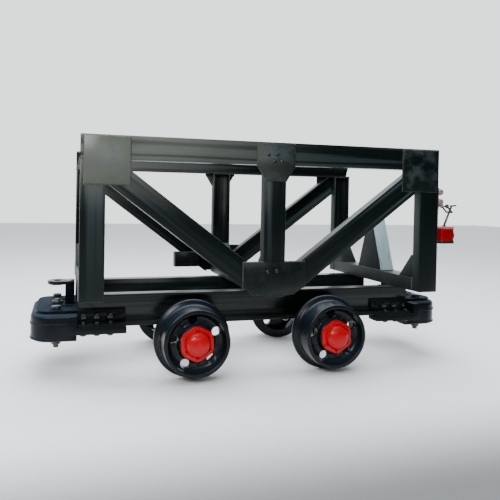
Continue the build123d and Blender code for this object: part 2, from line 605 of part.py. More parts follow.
def hub_cap(x, side):
    """Domed bearing cap with a lobed flange."""
    face = HUB_FRONT_Y + CAP_FLANGE_T
    cap = rod("y", (x, AXLE_Z), CAP_FLANGE_R, side * HUB_FRONT_Y, side * face)
    for place in around(x, CAP_BOLT_COUNT, CAP_BOLT_PITCH_R):
        cap += rod("y", place, CAP_LOBE_R, side * HUB_FRONT_Y, side * face)
    steps = [(cos(radians(a)), sin(radians(a))) for a in range(0, 91, CAP_DOME_STEP)]
    dome = [(CAP_DOME_R * c, face + CAP_DOME_H * s) for c, s in steps]
    inner_r, inner_h = CAP_DOME_R - CAP_WALL, CAP_DOME_H - CAP_WALL
    hollow = [(inner_r * c, face + inner_h * s) for c, s in steps]
    cap += spun([(0, face - CUT), (CAP_DOME_R, face - CUT)] + dome[:-1] + [(0, face + CAP_DOME_H)], x, side)
    cap -= spun([(0, HUB_FRONT_Y - CUT), (inner_r, HUB_FRONT_Y - CUT)] + hollow[:-1]
                + [(0, face + inner_h)], x, side)
    for place in around(x, CAP_BOLT_COUNT, CAP_BOLT_PITCH_R):
        cap -= rod("y", place, CAP_BOLT_R + BOLT_GAP, side * (HUB_FRONT_Y - CUT), side * (face + CUT))
    return cap


def cap_bolts(x, side):
    face = HUB_FRONT_Y + CAP_FLANGE_T
    bolts = []
    for place in around(x, CAP_BOLT_COUNT, CAP_BOLT_PITCH_R):
        bolt = rod("y", place, CAP_BOLT_R, side * (HUB_FRONT_Y - CAP_BOLT_DEPTH + CAP_BOLT_END_GAP),
                   side * face)
        bolts.append(bolt + hexagon("y", place, CAP_BOLT_HEAD_AF, side * face,
                                    side * (face + CAP_BOLT_HEAD_H)))
    return bolts


# ---- tail lamp ----------------------------------------------------------------------------------
LAMP_PLATE_X = TRUSS_HALF + LAMP_PLATE_T
LAMP_PIVOT = (TRUSS_HALF + LAMP_HANG_X, LAMP_HANG_Z)


def lamp_bracket():
    """Plate on the end face of the near right post, with the arm and pin that the lamp hangs on."""
    y0, y1 = LAMP_Y - LAMP_PLATE_B / 2, LAMP_Y + LAMP_PLATE_B / 2
    plate = block(TRUSS_HALF, LAMP_PLATE_X, y0, y1, LAMP_PLATE_Z, LAMP_PLATE_Z + LAMP_PLATE_H)
    for z in LAMP_KNOB_Z:
        plate -= rod("x", (LAMP_Y, z), LAMP_KNOB_STUD_R + BOLT_GAP, TRUSS_HALF - CUT, LAMP_PLATE_X + CUT)
    plate += rod("x", (LAMP_Y, LAMP_HANG_Z), LAMP_ARM_R, TRUSS_HALF, LAMP_PIVOT[0])
    pin = rod("y", LAMP_PIVOT, LAMP_PIN_R, LAMP_Y - LAMP_PIN_L / 2, LAMP_Y + LAMP_PIN_L / 2)
    return plate + pin


def lamp_knob(z):
    """Clamping knob on its stud."""
    start = LAMP_PLATE_X
    knob = rod("x", (LAMP_Y, z), LAMP_KNOB_R, start, start + LAMP_KNOB_L)
    knob = chamfer(knob.edges().filter_by(GeomType.CIRCLE), LAMP_KNOB_BEVEL)
    return knob + rod("x", (LAMP_Y, z), LAMP_KNOB_STUD_R, TRUSS_HALF, start + CUT)


def bar(start, end, radius):
    """Round bar between two points."""
    a, b = Vector(*start), Vector(*end)
    return Solid.make_cylinder(radius, (b - a).length, Plane(origin=a, z_dir=b - a))


def lamp_bail():
    """Forked hook that the lamp hangs by, cranked outwards and back over the lamp."""
    px, pz = LAMP_PIVOT
    knee_x = px + LAMP_BAIL_OUT
    knee_z = pz - LAMP_BAIL_OUT
    half = LAMP_BAIL_R / 2
    outer_y = LAMP_PIN_L / 2 - LAMP_FORK_GAP
    bail = rod("y", (knee_x, knee_z), LAMP_BAIL_R, LAMP_Y - outer_y, LAMP_Y + outer_y)
    strap = [(px - half, pz - half), (px + half, pz + half), (knee_x + half, knee_z + half),
             (knee_x - half, knee_z - half)]
    for side in (-1, 1):
        y0, y1 = LAMP_Y + side * outer_y, LAMP_Y + side * (outer_y - LAMP_FORK_T)
        bail += rod("y", (px, pz), LAMP_FORK_EYE_R, y0, y1) + plate_xz(strap, y0, y1)
        bail -= rod("y", (px, pz), LAMP_PIN_R + REST_GAP, y0 + side, y1 - side)
    stud_top = LAMP_BOX_TOP + 2 * LAMP_BAIL_R
    bail += bar((knee_x, LAMP_Y, knee_z), (px, LAMP_Y, LAMP_BOX_TOP + LAMP_BAIL_R), LAMP_BAIL_TIP_R)
    return bail + rod("z", (px, LAMP_Y), LAMP_STUD_R, LAMP_BOX_TOP, stud_top)


def lamp_body():
    """Lamp housing with the seat of its lens in the outward face."""
    px = LAMP_PIVOT[0]
    half_x, half_y = LAMP_BOX_X / 2, LAMP_BOX_Y / 2
    body = block(px - half_x, px + half_x, LAMP_Y - half_y, LAMP_Y + half_y,
                 LAMP_BOX_TOP - LAMP_BOX_H, LAMP_BOX_TOP)
    body = fillet(body.edges(), LAMP_BOX_R)
    z = LAMP_BOX_TOP - LAMP_BOX_H / 2
    return body - rod("x", (LAMP_Y, z), LAMP_LENS_R, px + half_x - LAMP_LENS_SEAT, px + half_x + CUT)


def lamp_lens():
    face = LAMP_PIVOT[0] + LAMP_BOX_X / 2
    z = LAMP_BOX_TOP - LAMP_BOX_H / 2
    start = face - LAMP_LENS_SEAT
    lens = rod("x", (LAMP_Y, z), LAMP_LENS_R, start, start + LAMP_LENS_T)
    return chamfer(lens.edges().filter_by(GeomType.CIRCLE).sort_by(Axis.X)[-1], LAMP_LENS_BEVEL)


# ---- write every node ---------------------------------------------------------------------------
for side_name, side in SIDES.items():
    build_truss(side_name, side)
    save(f"{side_name}_longitudinal", longitudinal(side))

END_BEARER_X = TRUSS_HALF - SECTION_H / 2
BEARER_XS = {"left": -END_BEARER_X, "centre": 0.0, "right": END_BEARER_X}
for bearer_name, x in BEARER_XS.items():
    save(f"{bearer_name}_bearer", bearer(x))
save("bearer_braces", *[brace(x, side) for x in BEARER_XS.values() for side in SIDES.values()])
save("far_side_box", side_box())

for end_name, end in ENDS.items():
    save(f"{end_name}_stanchion", stanchion(end))
    save(f"{end_name}_buffer", buffer_body(end))
    save(f"{end_name}_buffer_cover", buffer_cover(end))
    save(f"{end_name}_coupling_pin", coupling_pin(end))
    save(f"{end_name}_pin_keeper", pin_keeper(end))
save("buffer_bolts", *[piece for end in ENDS.values() for side in SIDES.values()
                       for piece in through_bolt(end, side)])
save("tail_bolts", *[piece for end in ENDS.values() for side in SIDES.values()
                     for piece in tail_bolts(end, side)])

seats, bolts, rings, nuts = [], [], [], []
for end_name, end in ENDS.items():
    x = end * WHEEL_CENTRE_X
    save(f"{end_name}_axle", axle(x))
    for side_name, side in SIDES.items():
        label = f"{side_name}_{end_name}"
        seats.append(axle_seat(x, side))
        bolts += [seat_bolt(x + bolt * SEAT_BOLT_X, side) for bolt in (-1, 1)]
        rings += [ring(x, side, y, BEARING_WIDTH, BEARING_SPLIT_R, JOURNAL_R) for y in BEARING_YS]
        spacer_y = INNER_BEARING_Y + BEARING_WIDTH
        rings.append(ring(x, side, spacer_y, OUTER_BEARING_Y - spacer_y, SPACER_R, JOURNAL_R))
        nuts.append(axle_nut(x, side))
        save(f"{label}_wheel", wheel(x, side))
        save(f"{label}_hub_cap", hub_cap(x, side))
        save(f"{label}_cap_bolts", *cap_bolts(x, side))
        save(f"{label}_bearing_outers", *[
            ring(x, side, y, BEARING_WIDTH, BEARING_OUTER_R, BEARING_SPLIT_R + RUNNING)
            for y in BEARING_YS])
save("axle_seats", *seats)
save("seat_bolts", *bolts)
save("bearing_inners", *rings)
save("axle_nuts", *nuts)

save("lamp_bracket", lamp_bracket())
save("lamp_knobs", *[lamp_knob(z) for z in LAMP_KNOB_Z])
save("lamp_bail", lamp_bail())
save("lamp_body", lamp_body())
save("lamp_lens", lamp_lens())
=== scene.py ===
import math
import random

import bpy
from mathutils import Matrix, Vector


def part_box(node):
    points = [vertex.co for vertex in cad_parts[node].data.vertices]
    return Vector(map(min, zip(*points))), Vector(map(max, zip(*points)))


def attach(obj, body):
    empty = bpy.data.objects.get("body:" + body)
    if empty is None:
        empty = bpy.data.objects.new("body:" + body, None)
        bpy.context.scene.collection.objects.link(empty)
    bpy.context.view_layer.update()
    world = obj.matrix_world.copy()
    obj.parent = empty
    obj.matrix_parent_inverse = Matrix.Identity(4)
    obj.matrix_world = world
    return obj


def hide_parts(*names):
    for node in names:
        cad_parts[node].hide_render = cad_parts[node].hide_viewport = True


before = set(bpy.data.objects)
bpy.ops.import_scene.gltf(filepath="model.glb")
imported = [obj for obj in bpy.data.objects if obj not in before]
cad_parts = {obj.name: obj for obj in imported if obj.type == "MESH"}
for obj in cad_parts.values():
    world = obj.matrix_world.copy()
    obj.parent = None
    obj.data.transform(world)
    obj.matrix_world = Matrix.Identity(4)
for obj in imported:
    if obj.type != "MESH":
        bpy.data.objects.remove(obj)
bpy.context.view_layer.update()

bl_info = {
    "name": "Mine supply cart",
    "version": (1, 0, 0),
    "blender": (4, 5, 0),
    "location": "View3D > Sidebar > Mine cart",
    "description": "Builds the finished look of a truss-sided mine supply cart around its frame",
    "category": "Add Mesh",
}

ENDS = {"left": -1, "right": 1}
SIDES = {"near": -1, "far": 1}
FRAME_BODY = "frame"
MERGE = 0.00002         # vertices nearer to each other than this are one


# ---- places read from the frame ------------------------------------------------------------------
def middle(node):
    """The middle of a node's box."""
    low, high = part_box(node)
    return (low + high) / 2


def wheel_place(side_name, end_name):
    """X, the side's sign and the height of one wheel's centre."""
    centre = middle(f"{side_name}_{end_name}_wheel")
    return centre.x, SIDES[side_name], centre.z


WEB_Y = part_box("far_top_chord")[1].y
PLATE_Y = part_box("far_gussets")[1].y
TRUSS_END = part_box("near_top_chord")[1].x
CHORD_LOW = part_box("near_top_chord")[0].z
POST_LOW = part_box("near_left_post")[0].z
POST_EDGE = -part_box("near_left_post")[1].x      # the end post's face towards the middle
FLANGE_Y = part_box("far_mid_post")[0].y
MID_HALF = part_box("near_mid_post")[1].x
COVER_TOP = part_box("left_buffer_cover")[1].z


# ---- what a user would change --------------------------------------------------------------------
def length(name, description, default):
    return bpy.props.FloatProperty(name=name, description=description, default=default,
                                   min=0.0, unit="LENGTH", subtype="DISTANCE")


def colour(name, description, default):
    return bpy.props.FloatVectorProperty(name=name, description=description, default=default,
                                         size=4, min=0.0, max=1.0, subtype="COLOR")


class CartSizes(bpy.types.PropertyGroup):
    """Sizes of the small detail that the frame doesn't hold."""
    rolled_edge: length("Rolled edge", "Rounding of the edges of a rolled channel", 0.0032)
    plate_edge: length("Plate edge", "Rounding of the edges of cut plate", 0.0014)
    cast_edge: length("Cast edge", "Rounding of the edges of a casting", 0.004)
    bead_width: length("Bead width", "Half the width of a weld bead", 0.0042)
    bead_pitch: length("Bead pitch", "Distance between two ripples of a weld bead", 0.0034)
    rivet_radius: length("Rivet radius", "Radius of a rivet head on a gusset", 0.0085)
    washer: length("Washer", "Thickness of the washer under a bolt head", 0.0022)
    window_lip: length("Window lip", "Radius of the cast lip round a wheel window", 0.0028)


class CartColours(bpy.types.PropertyGroup):
    """Colours of the paints and metals."""
    black: colour("Black paint", "Gloss black of the trusses and the underframe",
                  (0.0032, 0.0062, 0.0060, 1))
    # Dust on what faces up, and also the painted highlight on the upper left end of the trusses, plates
    # and welds.
    dust_and_highlight: colour("Haze", "Dust and sun haze lying on the black paint", (0.115, 0.125, 0.105, 1))
    cast_black: colour("Cast black", "Black of the buffers and the wheels", (0.0045, 0.0060, 0.0075, 1))
    # Painted bluish sky reflection on what faces up on the castings, and a few sand specks.
    cast_blue: colour("Cast blue", "Bluish bloom on the black castings", (0.045, 0.10, 0.165, 1))
    # Worn streaks and patches, and also the painted sky reflection on the upper parts of the rolled
    # members and plates.
    cool: colour("Cool grey", "Worn streaks and mottling that catch the sky",
                 (0.052, 0.074, 0.080, 1))
    # Light bluish grey that the stanchions take on their flank facing the near side.
    flank_grey: colour("Bleached paint", "Paint of the stanchions, bleached by the weather",
                     (0.50, 0.66, 0.72, 1))
    red: colour("Red enamel", "Enamel of the bearing caps", (0.42, 0.0004, 0.0055, 1))
    lamp_red: colour("Lamp red", "Paint of the tail lamp", (0.27, 0.0015, 0.005, 1))
    # Pale pink of the lamp's lid: a painted highlight on the lamp's top.
    lid_highlight_red: colour("Faded red", "Sun-faded lid of the tail lamp", (0.42, 0.13, 0.12, 1))
    steel: colour("Steel", "Bare and oiled steel", (0.30, 0.29, 0.28, 1))
    ground: colour("Ground steel", "Rings of the bearings", (0.5, 0.5, 0.5, 1))
    forged: colour("Forged steel", "Coupling pins", (0.10, 0.10, 0.10, 1))
    zinc: colour("Zinc", "Weathered plated fittings of the lamp", (0.50, 0.44, 0.38, 1))
    rust: colour("Rust", "Rust in the corners and on the weld toes", (0.11, 0.045, 0.022, 1))


def sizes():
    return bpy.context.scene.cart_sizes


def colours():
    return bpy.context.scene.cart_colours


# ---- shader maths as expressions -----------------------------------------------------------------
class Value:
    """A number from a node. Python's operators on it add the Math nodes."""

    def __init__(self, tree, socket):
        self.tree = tree
        self.socket = socket

    def _with(self, operation, other, flipped=False):
        node = self.tree.nodes.new("ShaderNodeMath")
        node.operation = operation
        pair = (other, self) if flipped else (self, other)
        for socket, item in zip(node.inputs, pair):
            feed(self.tree, socket, item)
        return Value(self.tree, node.outputs[0])

    def __add__(self, other):
        return self._with("ADD", other)

    def __radd__(self, other):
        return self._with("ADD", other)

    def __rsub__(self, other):
        return self._with("SUBTRACT", other, True)

    def __mul__(self, other):
        return self._with("MULTIPLY", other)

    def __rmul__(self, other):
        return self._with("MULTIPLY", other)

    def __pow__(self, other):
        return self._with("POWER", other)

    def above(self, low, high):
        """0 below low, 1 above high, smooth between; low may be the larger."""
        node = self.tree.nodes.new("ShaderNodeMapRange")
        node.interpolation_type = "SMOOTHSTEP"
        for socket, item in zip(node.inputs, (self, low, high, 0.0, 1.0)):
            feed(self.tree, socket, item)
        return Value(self.tree, node.outputs[0])


def feed(tree, socket, item):
    """Links an output to a socket, or sets the socket's own value."""
    if isinstance(item, Value):
        item = item.socket
    if isinstance(item, bpy.types.NodeSocket):
        tree.links.new(item, socket)
    else:
        socket.default_value = item


class Finish:
    """One material, made node by node."""

    def __init__(self, name):
        self.material = bpy.data.materials.new(name)
        self.material.use_nodes = True
        self.tree = self.material.node_tree
        self.tree.nodes.clear()
        self.shader = self.tree.nodes.new("ShaderNodeBsdfPrincipled")
        output = self.tree.nodes.new("ShaderNodeOutputMaterial")
        self.tree.links.new(self.shader.outputs[0], output.inputs["Surface"])
        self.place = self.node("ShaderNodeTexCoord").outputs["Object"]

    def node(self, kind, settings=None, values=None):
        """Any node: its settings first, then the values or links of its sockets."""
        made = self.tree.nodes.new(kind)
        for name, item in (settings or {}).items():
            setattr(made, name, item)
        for name, item in (values or {}).items():
            feed(self.tree, made.inputs[name], item)
        return made

    def turned_place(self, scale, turn=(0, 0, 0), start=None):
        """Object coordinates, or others, scaled and then turned."""
        return self.node("ShaderNodeMapping", None, {
            "Vector": start or self.place, "Rotation": turn, "Scale": scale}).outputs[0]

    def noise(self, scale, detail=3.0, rough=0.55, place=None):
        made = self.node("ShaderNodeTexNoise", None, {
            "Vector": place or self.place, "Scale": scale, "Detail": detail, "Roughness": rough})
        return Value(self.tree, made.outputs["Fac"])

    def axis(self, name):
        parts = self.node("ShaderNodeSeparateXYZ", None, {"Vector": self.place})
        return Value(self.tree, parts.outputs[name])

    def facing(self, name):
        """The surface normal's share along one axis."""
        geometry = self.node("ShaderNodeNewGeometry")
        parts = self.node("ShaderNodeSeparateXYZ", None, {"Vector": geometry.outputs["Normal"]})
        return Value(self.tree, parts.outputs[name])

    def mix(self, share, first, second):
        """The first colour where the share is 0, the second where it is 1."""
        made = self.node("ShaderNodeMix", {"data_type": "RGBA"})
        for index, item in ((0, share), (6, first), (7, second)):
            feed(self.tree, made.inputs[index], item)
        return made.outputs[2]

    def bump(self, height, strength, distance, under=None):
        made = self.node("ShaderNodeBump", None, {
            "Height": height.socket, "Strength": strength, "Distance": distance})
        if under is not None:
            feed(self.tree, made.inputs["Normal"], under)
        return made.outputs[0]

    def set(self, **items):
        for name, item in items.items():
            feed(self.tree, self.shader.inputs[name.replace("_", " ")], item)


FINISHES = {}


def finish(name, maker, **settings):
    """A material by its name, made the first time that it is asked for."""
    if name not in FINISHES:
        FINISHES[name] = maker(name, **settings)
    return FINISHES[name]


PAINT_SHEEN = 0.27
DIAGONAL_RISE = 0.75        # of a diagonal over its run
# Extra streaking on the right diagonal: a painted sky reflection along its upper flange.
RISING_SHEEN = 2.3
LENS_LIGHT = (0.55, 0.006, 0.008, 1)
LENS_DEEP = (0.22, 0.002, 0.004, 1)


def rolled_paint(name, lean=0.0, worn=1.0):
    """Gloss black on a rolled channel that leans from upright, with the lines of the rolls along it,
    streaks that are partly wear and partly painted sky reflection, a painted highlight towards the upper
    left end and faint rust."""
    made = Finish(name)
    tones = colours()
    straight = made.turned_place((1, 1, 1), (0, lean, 0))
    bands = made.noise(1.0, 1.0, 0.4, made.turned_place((44.0, 20.0, 0.7), start=straight))
    fine = made.noise(1.0, 3.0, 0.6, made.turned_place((210.0, 90.0, 4.0), start=straight))
    clouds = made.noise(3.4, 4.0, 0.6)
    left = made.axis("X").above(0.34, -0.72)
    high = made.axis("Z").above(0.74, 1.0)
    lift = made.axis("Z").above(0.36, 0.85)
    outside = made.facing("Y").above(0.75, -0.9)
    # Painted highlight: lighter towards the upper left end and on faces turned to the near side, banded
    # along the rolls.
    dust_and_highlight = left * (0.02 + high * 0.98) * (0.35 + outside * 0.65)
    dust_and_highlight = dust_and_highlight * (0.16 + bands.above(0.36, 0.58) * 1.0) * (0.62 + clouds * 0.7)
    # Streaks of wear, partly also painted sky reflection that grows higher up.
    wear_and_sheen_streak = (bands.above(0.48, 0.62) * 0.34 + fine.above(0.55, 0.8) * 0.12) * (0.10 + lift * 0.90) * worn
    top = made.facing("Z").above(0.6, 0.95) * (0.22 + clouds * 0.35)
    rust = made.noise(16.0, 6.0, 0.7).above(0.70, 0.78) * 0.30
    base = made.mix(dust_and_highlight * 0.92 + top * 0.45, tones.black, tones.dust_and_highlight)
    base = made.mix(wear_and_sheen_streak, base, tones.cool)
    base = made.mix(rust, base, tones.rust)
    rough = 0.15 + made.facing("X") ** 2 * 0.32 + dust_and_highlight * 0.22 + fine * 0.14 + top * 0.22
    peel = made.noise(420.0, 2.0, 0.5)
    normal = made.bump(bands, 0.40, 0.0030)
    normal = made.bump(fine, 0.22, 0.0006, normal)
    normal = made.bump(peel, 0.12, 0.0003, normal)
    made.set(Base_Color=base, Roughness=rough, Normal=normal, Specular_IOR_Level=PAINT_SHEEN)
    return made.material


def plate_paint(name):
    """Gloss black over cut plate: mottled, with painted sky reflection in the mottling on the upper
    plates, a painted highlight on the upper left plates and dust on top.
    """
    made = Finish(name)
    tones = colours()
    clouds = made.noise(11.0, 5.0, 0.62)
    large = made.noise(3.0, 3.0, 0.5)
    left = made.axis("X").above(0.30, -0.70)
    high = made.axis("Z").above(0.70, 0.90)
    outside = made.facing("Y").above(0.75, -0.9)
    # Painted highlight: lighter on the upper left plates, most on faces turned to the near side.
    dust_and_highlight = left * (0.03 + high * 0.97) * (0.35 + outside * 0.65) * (0.55 + clouds * 0.6)
    dust = made.facing("Z").above(0.6, 0.95) * (0.25 + large * 0.4)
    # Mottling: random tone, and painted sky reflection that grows on the upper plates.
    mottle_and_sheen = clouds.above(0.44, 0.68) * (0.10 + high * 0.45)
    rust = made.noise(21.0, 6.0, 0.72).above(0.69, 0.78) * 0.35
    base = made.mix(dust_and_highlight * 1.05 + dust * 0.4, tones.black, tones.dust_and_highlight)
    base = made.mix(mottle_and_sheen, base, tones.cool)
    base = made.mix(rust, base, tones.rust)
    normal = made.bump(clouds, 0.25, 0.0012)
    normal = made.bump(made.noise(380.0, 2.0, 0.5), 0.16, 0.0003, normal)
    made.set(Base_Color=base, Normal=normal,
             Roughness=0.18 + clouds * 0.16 + dust * 0.25 + made.facing("X") ** 2 * 0.32,
             Specular_IOR_Level=PAINT_SHEEN)
    return made.material


def flank_grey_paint(name):
    """Black paint that turns a light bluish grey on the flank facing the near side, with streaks."""
    made = Finish(name)
    tones = colours()
    streaks = made.noise(1.0, 3.0, 0.6, made.turned_place((60.0, 14.0, 5.0)))
    near_flank = made.facing("Y").above(-0.55, -0.88)
    share = near_flank * (0.55 + streaks * 0.55)
    base = made.mix(share, tones.black, tones.flank_grey)
    base = made.mix(streaks.above(0.62, 0.72) * 0.45, base, tones.black)
    made.set(Base_Color=base, Specular_IOR_Level=PAINT_SHEEN,
             Roughness=0.22 + streaks * 0.2 + made.facing("X") ** 2 * 0.4,
             Normal=made.bump(streaks, 0.25, 0.0008))
    return made.material


def weld_paint(name):
    """Painted weld metal: a shade lighter in spots and, as a painted highlight, towards the left end, with
    rust at the toes.
    """
    made = Finish(name)
    tones = colours()
    spots = made.noise(60.0, 4.0, 0.6)
    left = made.axis("X").above(0.30, -0.70)
    # Painted highlight: the welds are mixed lighter towards the left end.
    base = made.mix(spots.above(0.40, 0.75) * 0.35 + left * 0.5, tones.black, tones.dust_and_highlight)
    base = made.mix(made.noise(34.0, 4.0, 0.7).above(0.60, 0.72) * 0.5, base, tones.rust)
    made.set(Base_Color=base, Roughness=0.32 + spots * 0.25, Normal=made.bump(spots, 0.4, 0.0008))
    return made.material


def cast_paint(name, bloom, grain, sheen=0.27, matt=0.0):
    """Black paint over a sand casting, with a painted bluish sky reflection on what faces up."""
    made = Finish(name)
    tones = colours()
    sand = made.noise(grain, 5.0, 0.65)
    clouds = made.noise(9.0, 4.0, 0.6)
    up = made.facing("Z").above(0.05, 0.95)
    # Painted sky reflection on what faces up, plus a few random sand specks.
    share = up * bloom * (0.45 + clouds * 0.75) + sand.above(0.55, 0.80) * 0.08
    base = made.mix(share, tones.cast_black, tones.cast_blue)
    rust = made.noise(26.0, 6.0, 0.72).above(0.68, 0.77) * 0.40
    base = made.mix(rust, base, tones.rust)
    normal = made.bump(sand, 0.42, 0.0011)
    normal = made.bump(clouds, 0.35, 0.0045, normal)
    made.set(Base_Color=base, Roughness=0.13 + sand * 0.18 + up * matt, Normal=normal,
             Specular_IOR_Level=sheen)
    return made.material


def enamel(name, tone):
    """Thick brushed enamel, a little uneven, darker where it pooled."""
    made = Finish(name)
    tones = colours()
    runs = made.noise(34.0, 3.0, 0.55)
    dirt = made.noise(75.0, 5.0, 0.7)
    base = made.mix(runs.above(0.35, 0.75) * 0.35, tone, [c * 0.55 for c in tone[:3]] + [1])
    base = made.mix(dirt.above(0.66, 0.76) * 0.30, base, tones.rust)
    normal = made.bump(runs, 0.38, 0.0016)
    normal = made.bump(made.noise(260.0, 2.0, 0.5), 0.14, 0.0004, normal)
    made.set(Base_Color=base, Roughness=0.15 + runs * 0.16, Normal=normal, Specular_IOR_Level=0.20,
             Coat_Weight=0.05, Coat_Roughness=0.08)
    return made.material


def worn_steel(name, tone, rust_share, rough):
    """Bare or plated steel with turning marks and rust."""
    made = Finish(name)
    tones = colours()
    marks = made.noise(1.0, 3.0, 0.6, made.turned_place((160.0, 18.0, 160.0)))
    spots = made.noise(48.0, 6.0, 0.72)
    base = made.mix(marks * 0.35, tone, [c * 0.45 for c in tone[:3]] + [1])
    rusty = spots.above(0.62 - rust_share * 0.2, 0.74)
    base = made.mix(rusty * 0.75, base, tones.rust)
    made.set(Base_Color=base, Metallic=1.0 - rusty * 0.9, Roughness=rough + marks * 0.15 + rusty * 0.3,
             Normal=made.bump(marks + spots * 0.5, 0.25, 0.0006))
    return made.material


def bolt_paint(name):
    """Black paint on a bolt, worn in patches."""
    made = Finish(name)
    tones = colours()
    wear = made.noise(85.0, 5.0, 0.7).above(0.50, 0.66)
    base = made.mix(wear * 0.45, tones.cast_black, tones.cool)
    made.set(Base_Color=base, Metallic=wear * 0.5, Roughness=0.30 + wear * 0.15,
             Normal=made.bump(wear, 0.25, 0.0005), Coat_Weight=0.2)
    return made.material


def lamp_glass(name):
    """Red moulded glass with fine ribs."""
    made = Finish(name)
    ribs = made.node("ShaderNodeTexWave", {"bands_direction": "Z"}, {
        "Vector": made.place, "Scale": 95.0, "Distortion": 0.4})
    share = Value(made.tree, ribs.outputs["Fac"])
    base = made.mix(share * 0.4, LENS_LIGHT, LENS_DEEP)
    made.set(Base_Color=base, Roughness=0.06 + share * 0.05, Normal=made.bump(share, 0.5, 0.0012),
             Coat_Weight=1.0, Coat_Roughness=0.03)
    return made.material


def chord_paint():
    return finish("rolled_paint_level", rolled_paint, lean=math.pi / 2)


def post_paint():
    return finish("rolled_paint_upright", rolled_paint)


def slanting_paint(end):
    """Paint of the diagonal at one end, whose upper end leans that way. The right one has stronger
    streaks, for a painted sky reflection along it.
    """
    lean = -end * math.atan2(1.0, DIAGONAL_RISE)
    if end > 0:
        return finish("rolled_paint_rising", rolled_paint, lean=lean, worn=RISING_SHEEN)
    return finish("rolled_paint_falling", rolled_paint, lean=lean)


# ---- modelling helpers ---------------------------------------------------------------------------
def activate(*pieces):
    """Selects only these objects; the first is the active one."""
    if bpy.context.object and bpy.context.object.mode != "OBJECT":
        bpy.ops.object.mode_set(mode="OBJECT")
    bpy.ops.object.select_all(action="DESELECT")
    for piece in pieces:
        piece.select_set(True)
    bpy.context.view_layer.objects.active = pieces[0] if pieces else None


def settle(piece):
    """Puts the piece's place into its mesh, so that its object sits at the origin."""
    activate(piece)
    bpy.ops.object.transform_apply(location=True, rotation=True, scale=True)
    return piece


def modify(piece, kind, **settings):
    """Adds one modifier and applies it."""
    activate(piece)
    modifier = piece.modifiers.new(kind.lower(), kind)
    for name, item in settings.items():
        setattr(modifier, name, item)
    bpy.ops.object.modifier_apply(modifier=modifier.name)
    return piece


def soften(piece, width, segments=2, angle=30.0):
    """Rounds every edge sharper than the angle."""
    return modify(piece, "BEVEL", width=width, segments=segments, limit_method="ANGLE",
                  angle_limit=math.radians(angle), use_clamp_overlap=True)


def bevel_edges(piece, offset, segments, wanted):
    """Rounds only the edges whose two ends pass the test."""
    activate(piece)
    bpy.ops.object.mode_set(mode="EDIT")
    bpy.ops.mesh.select_mode(type="EDGE")
    bpy.ops.mesh.select_all(action="DESELECT")
    bpy.ops.object.mode_set(mode="OBJECT")
    for edge in piece.data.edges:
        edge.select = wanted(*[piece.data.vertices[i].co for i in edge.vertices])
    bpy.ops.object.mode_set(mode="EDIT")
    bpy.ops.mesh.bevel(offset=offset, segments=segments)
    bpy.ops.object.mode_set(mode="OBJECT")
    return piece


def smooth(piece, angle=38.0):
    """Shades smooth, with edges sharper than the angle kept sharp."""
    activate(piece)
    bpy.ops.object.shade_smooth_by_angle(angle=math.radians(angle))
    return piece


def join(pieces):
    """One object out of several, which is the first of them."""
    activate(*pieces)
    if len(pieces) > 1:
        bpy.ops.object.join()
    return pieces[0]


def tidy_mesh(piece, flat_angle=0.0):
    """Merges doubles, joins faces that lie in one plane and turns every face outwards."""
    activate(piece)
    bpy.ops.object.mode_set(mode="EDIT")
    bpy.ops.mesh.select_all(action="SELECT")
    bpy.ops.mesh.remove_doubles(threshold=MERGE)
    if flat_angle:
        bpy.ops.mesh.dissolve_limited(angle_limit=math.radians(flat_angle))
    bpy.ops.mesh.normals_make_consistent(inside=False)
    bpy.ops.object.mode_set(mode="OBJECT")
    return piece


def copy_of(node):
    """A copy of a CAD node to work on, with whole faces in place of loose triangles."""
    piece = bpy.data.objects.new(f"{node}_work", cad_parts[node].data.copy())
    bpy.context.scene.collection.objects.link(piece)
    activate(piece)
    bpy.ops.mesh.customdata_custom_splitnormals_clear()
    return tidy_mesh(piece, 0.5)


def stamp(pattern, place):
    """One more copy of a small pattern, moved by a matrix, with a mesh of its own."""
    piece = bpy.data.objects.new(pattern.name, pattern.data.copy())
    bpy.context.scene.collection.objects.link(piece)
    piece.data.transform(place)
    return piece


def discard(piece):
    bpy.data.objects.remove(piece)


def aim(point, direction):
    """Matrix that puts a pattern made along +Z at a point, facing a direction."""
    turn = Vector((0, 0, 1)).rotation_difference(Vector(direction)).to_matrix().to_4x4()
    return Matrix.Translation(point) @ turn


def box_piece(low, high):
    """A box between two corners."""
    low, high = Vector(low), Vector(high)
    activate()
    bpy.ops.mesh.primitive_cube_add(size=1, location=(low + high) / 2, scale=high - low)
    return settle(bpy.context.object)


def rod_piece(start, end, radius, sides=32):
    """A round bar between two points, or a prism where it has few sides."""
    start, end = Vector(start), Vector(end)
    activate()
    bpy.ops.mesh.primitive_cylinder_add(vertices=sides, radius=radius, depth=(end - start).length)
    piece = bpy.context.object
    piece.data.transform(aim((start + end) / 2, end - start))
    return piece


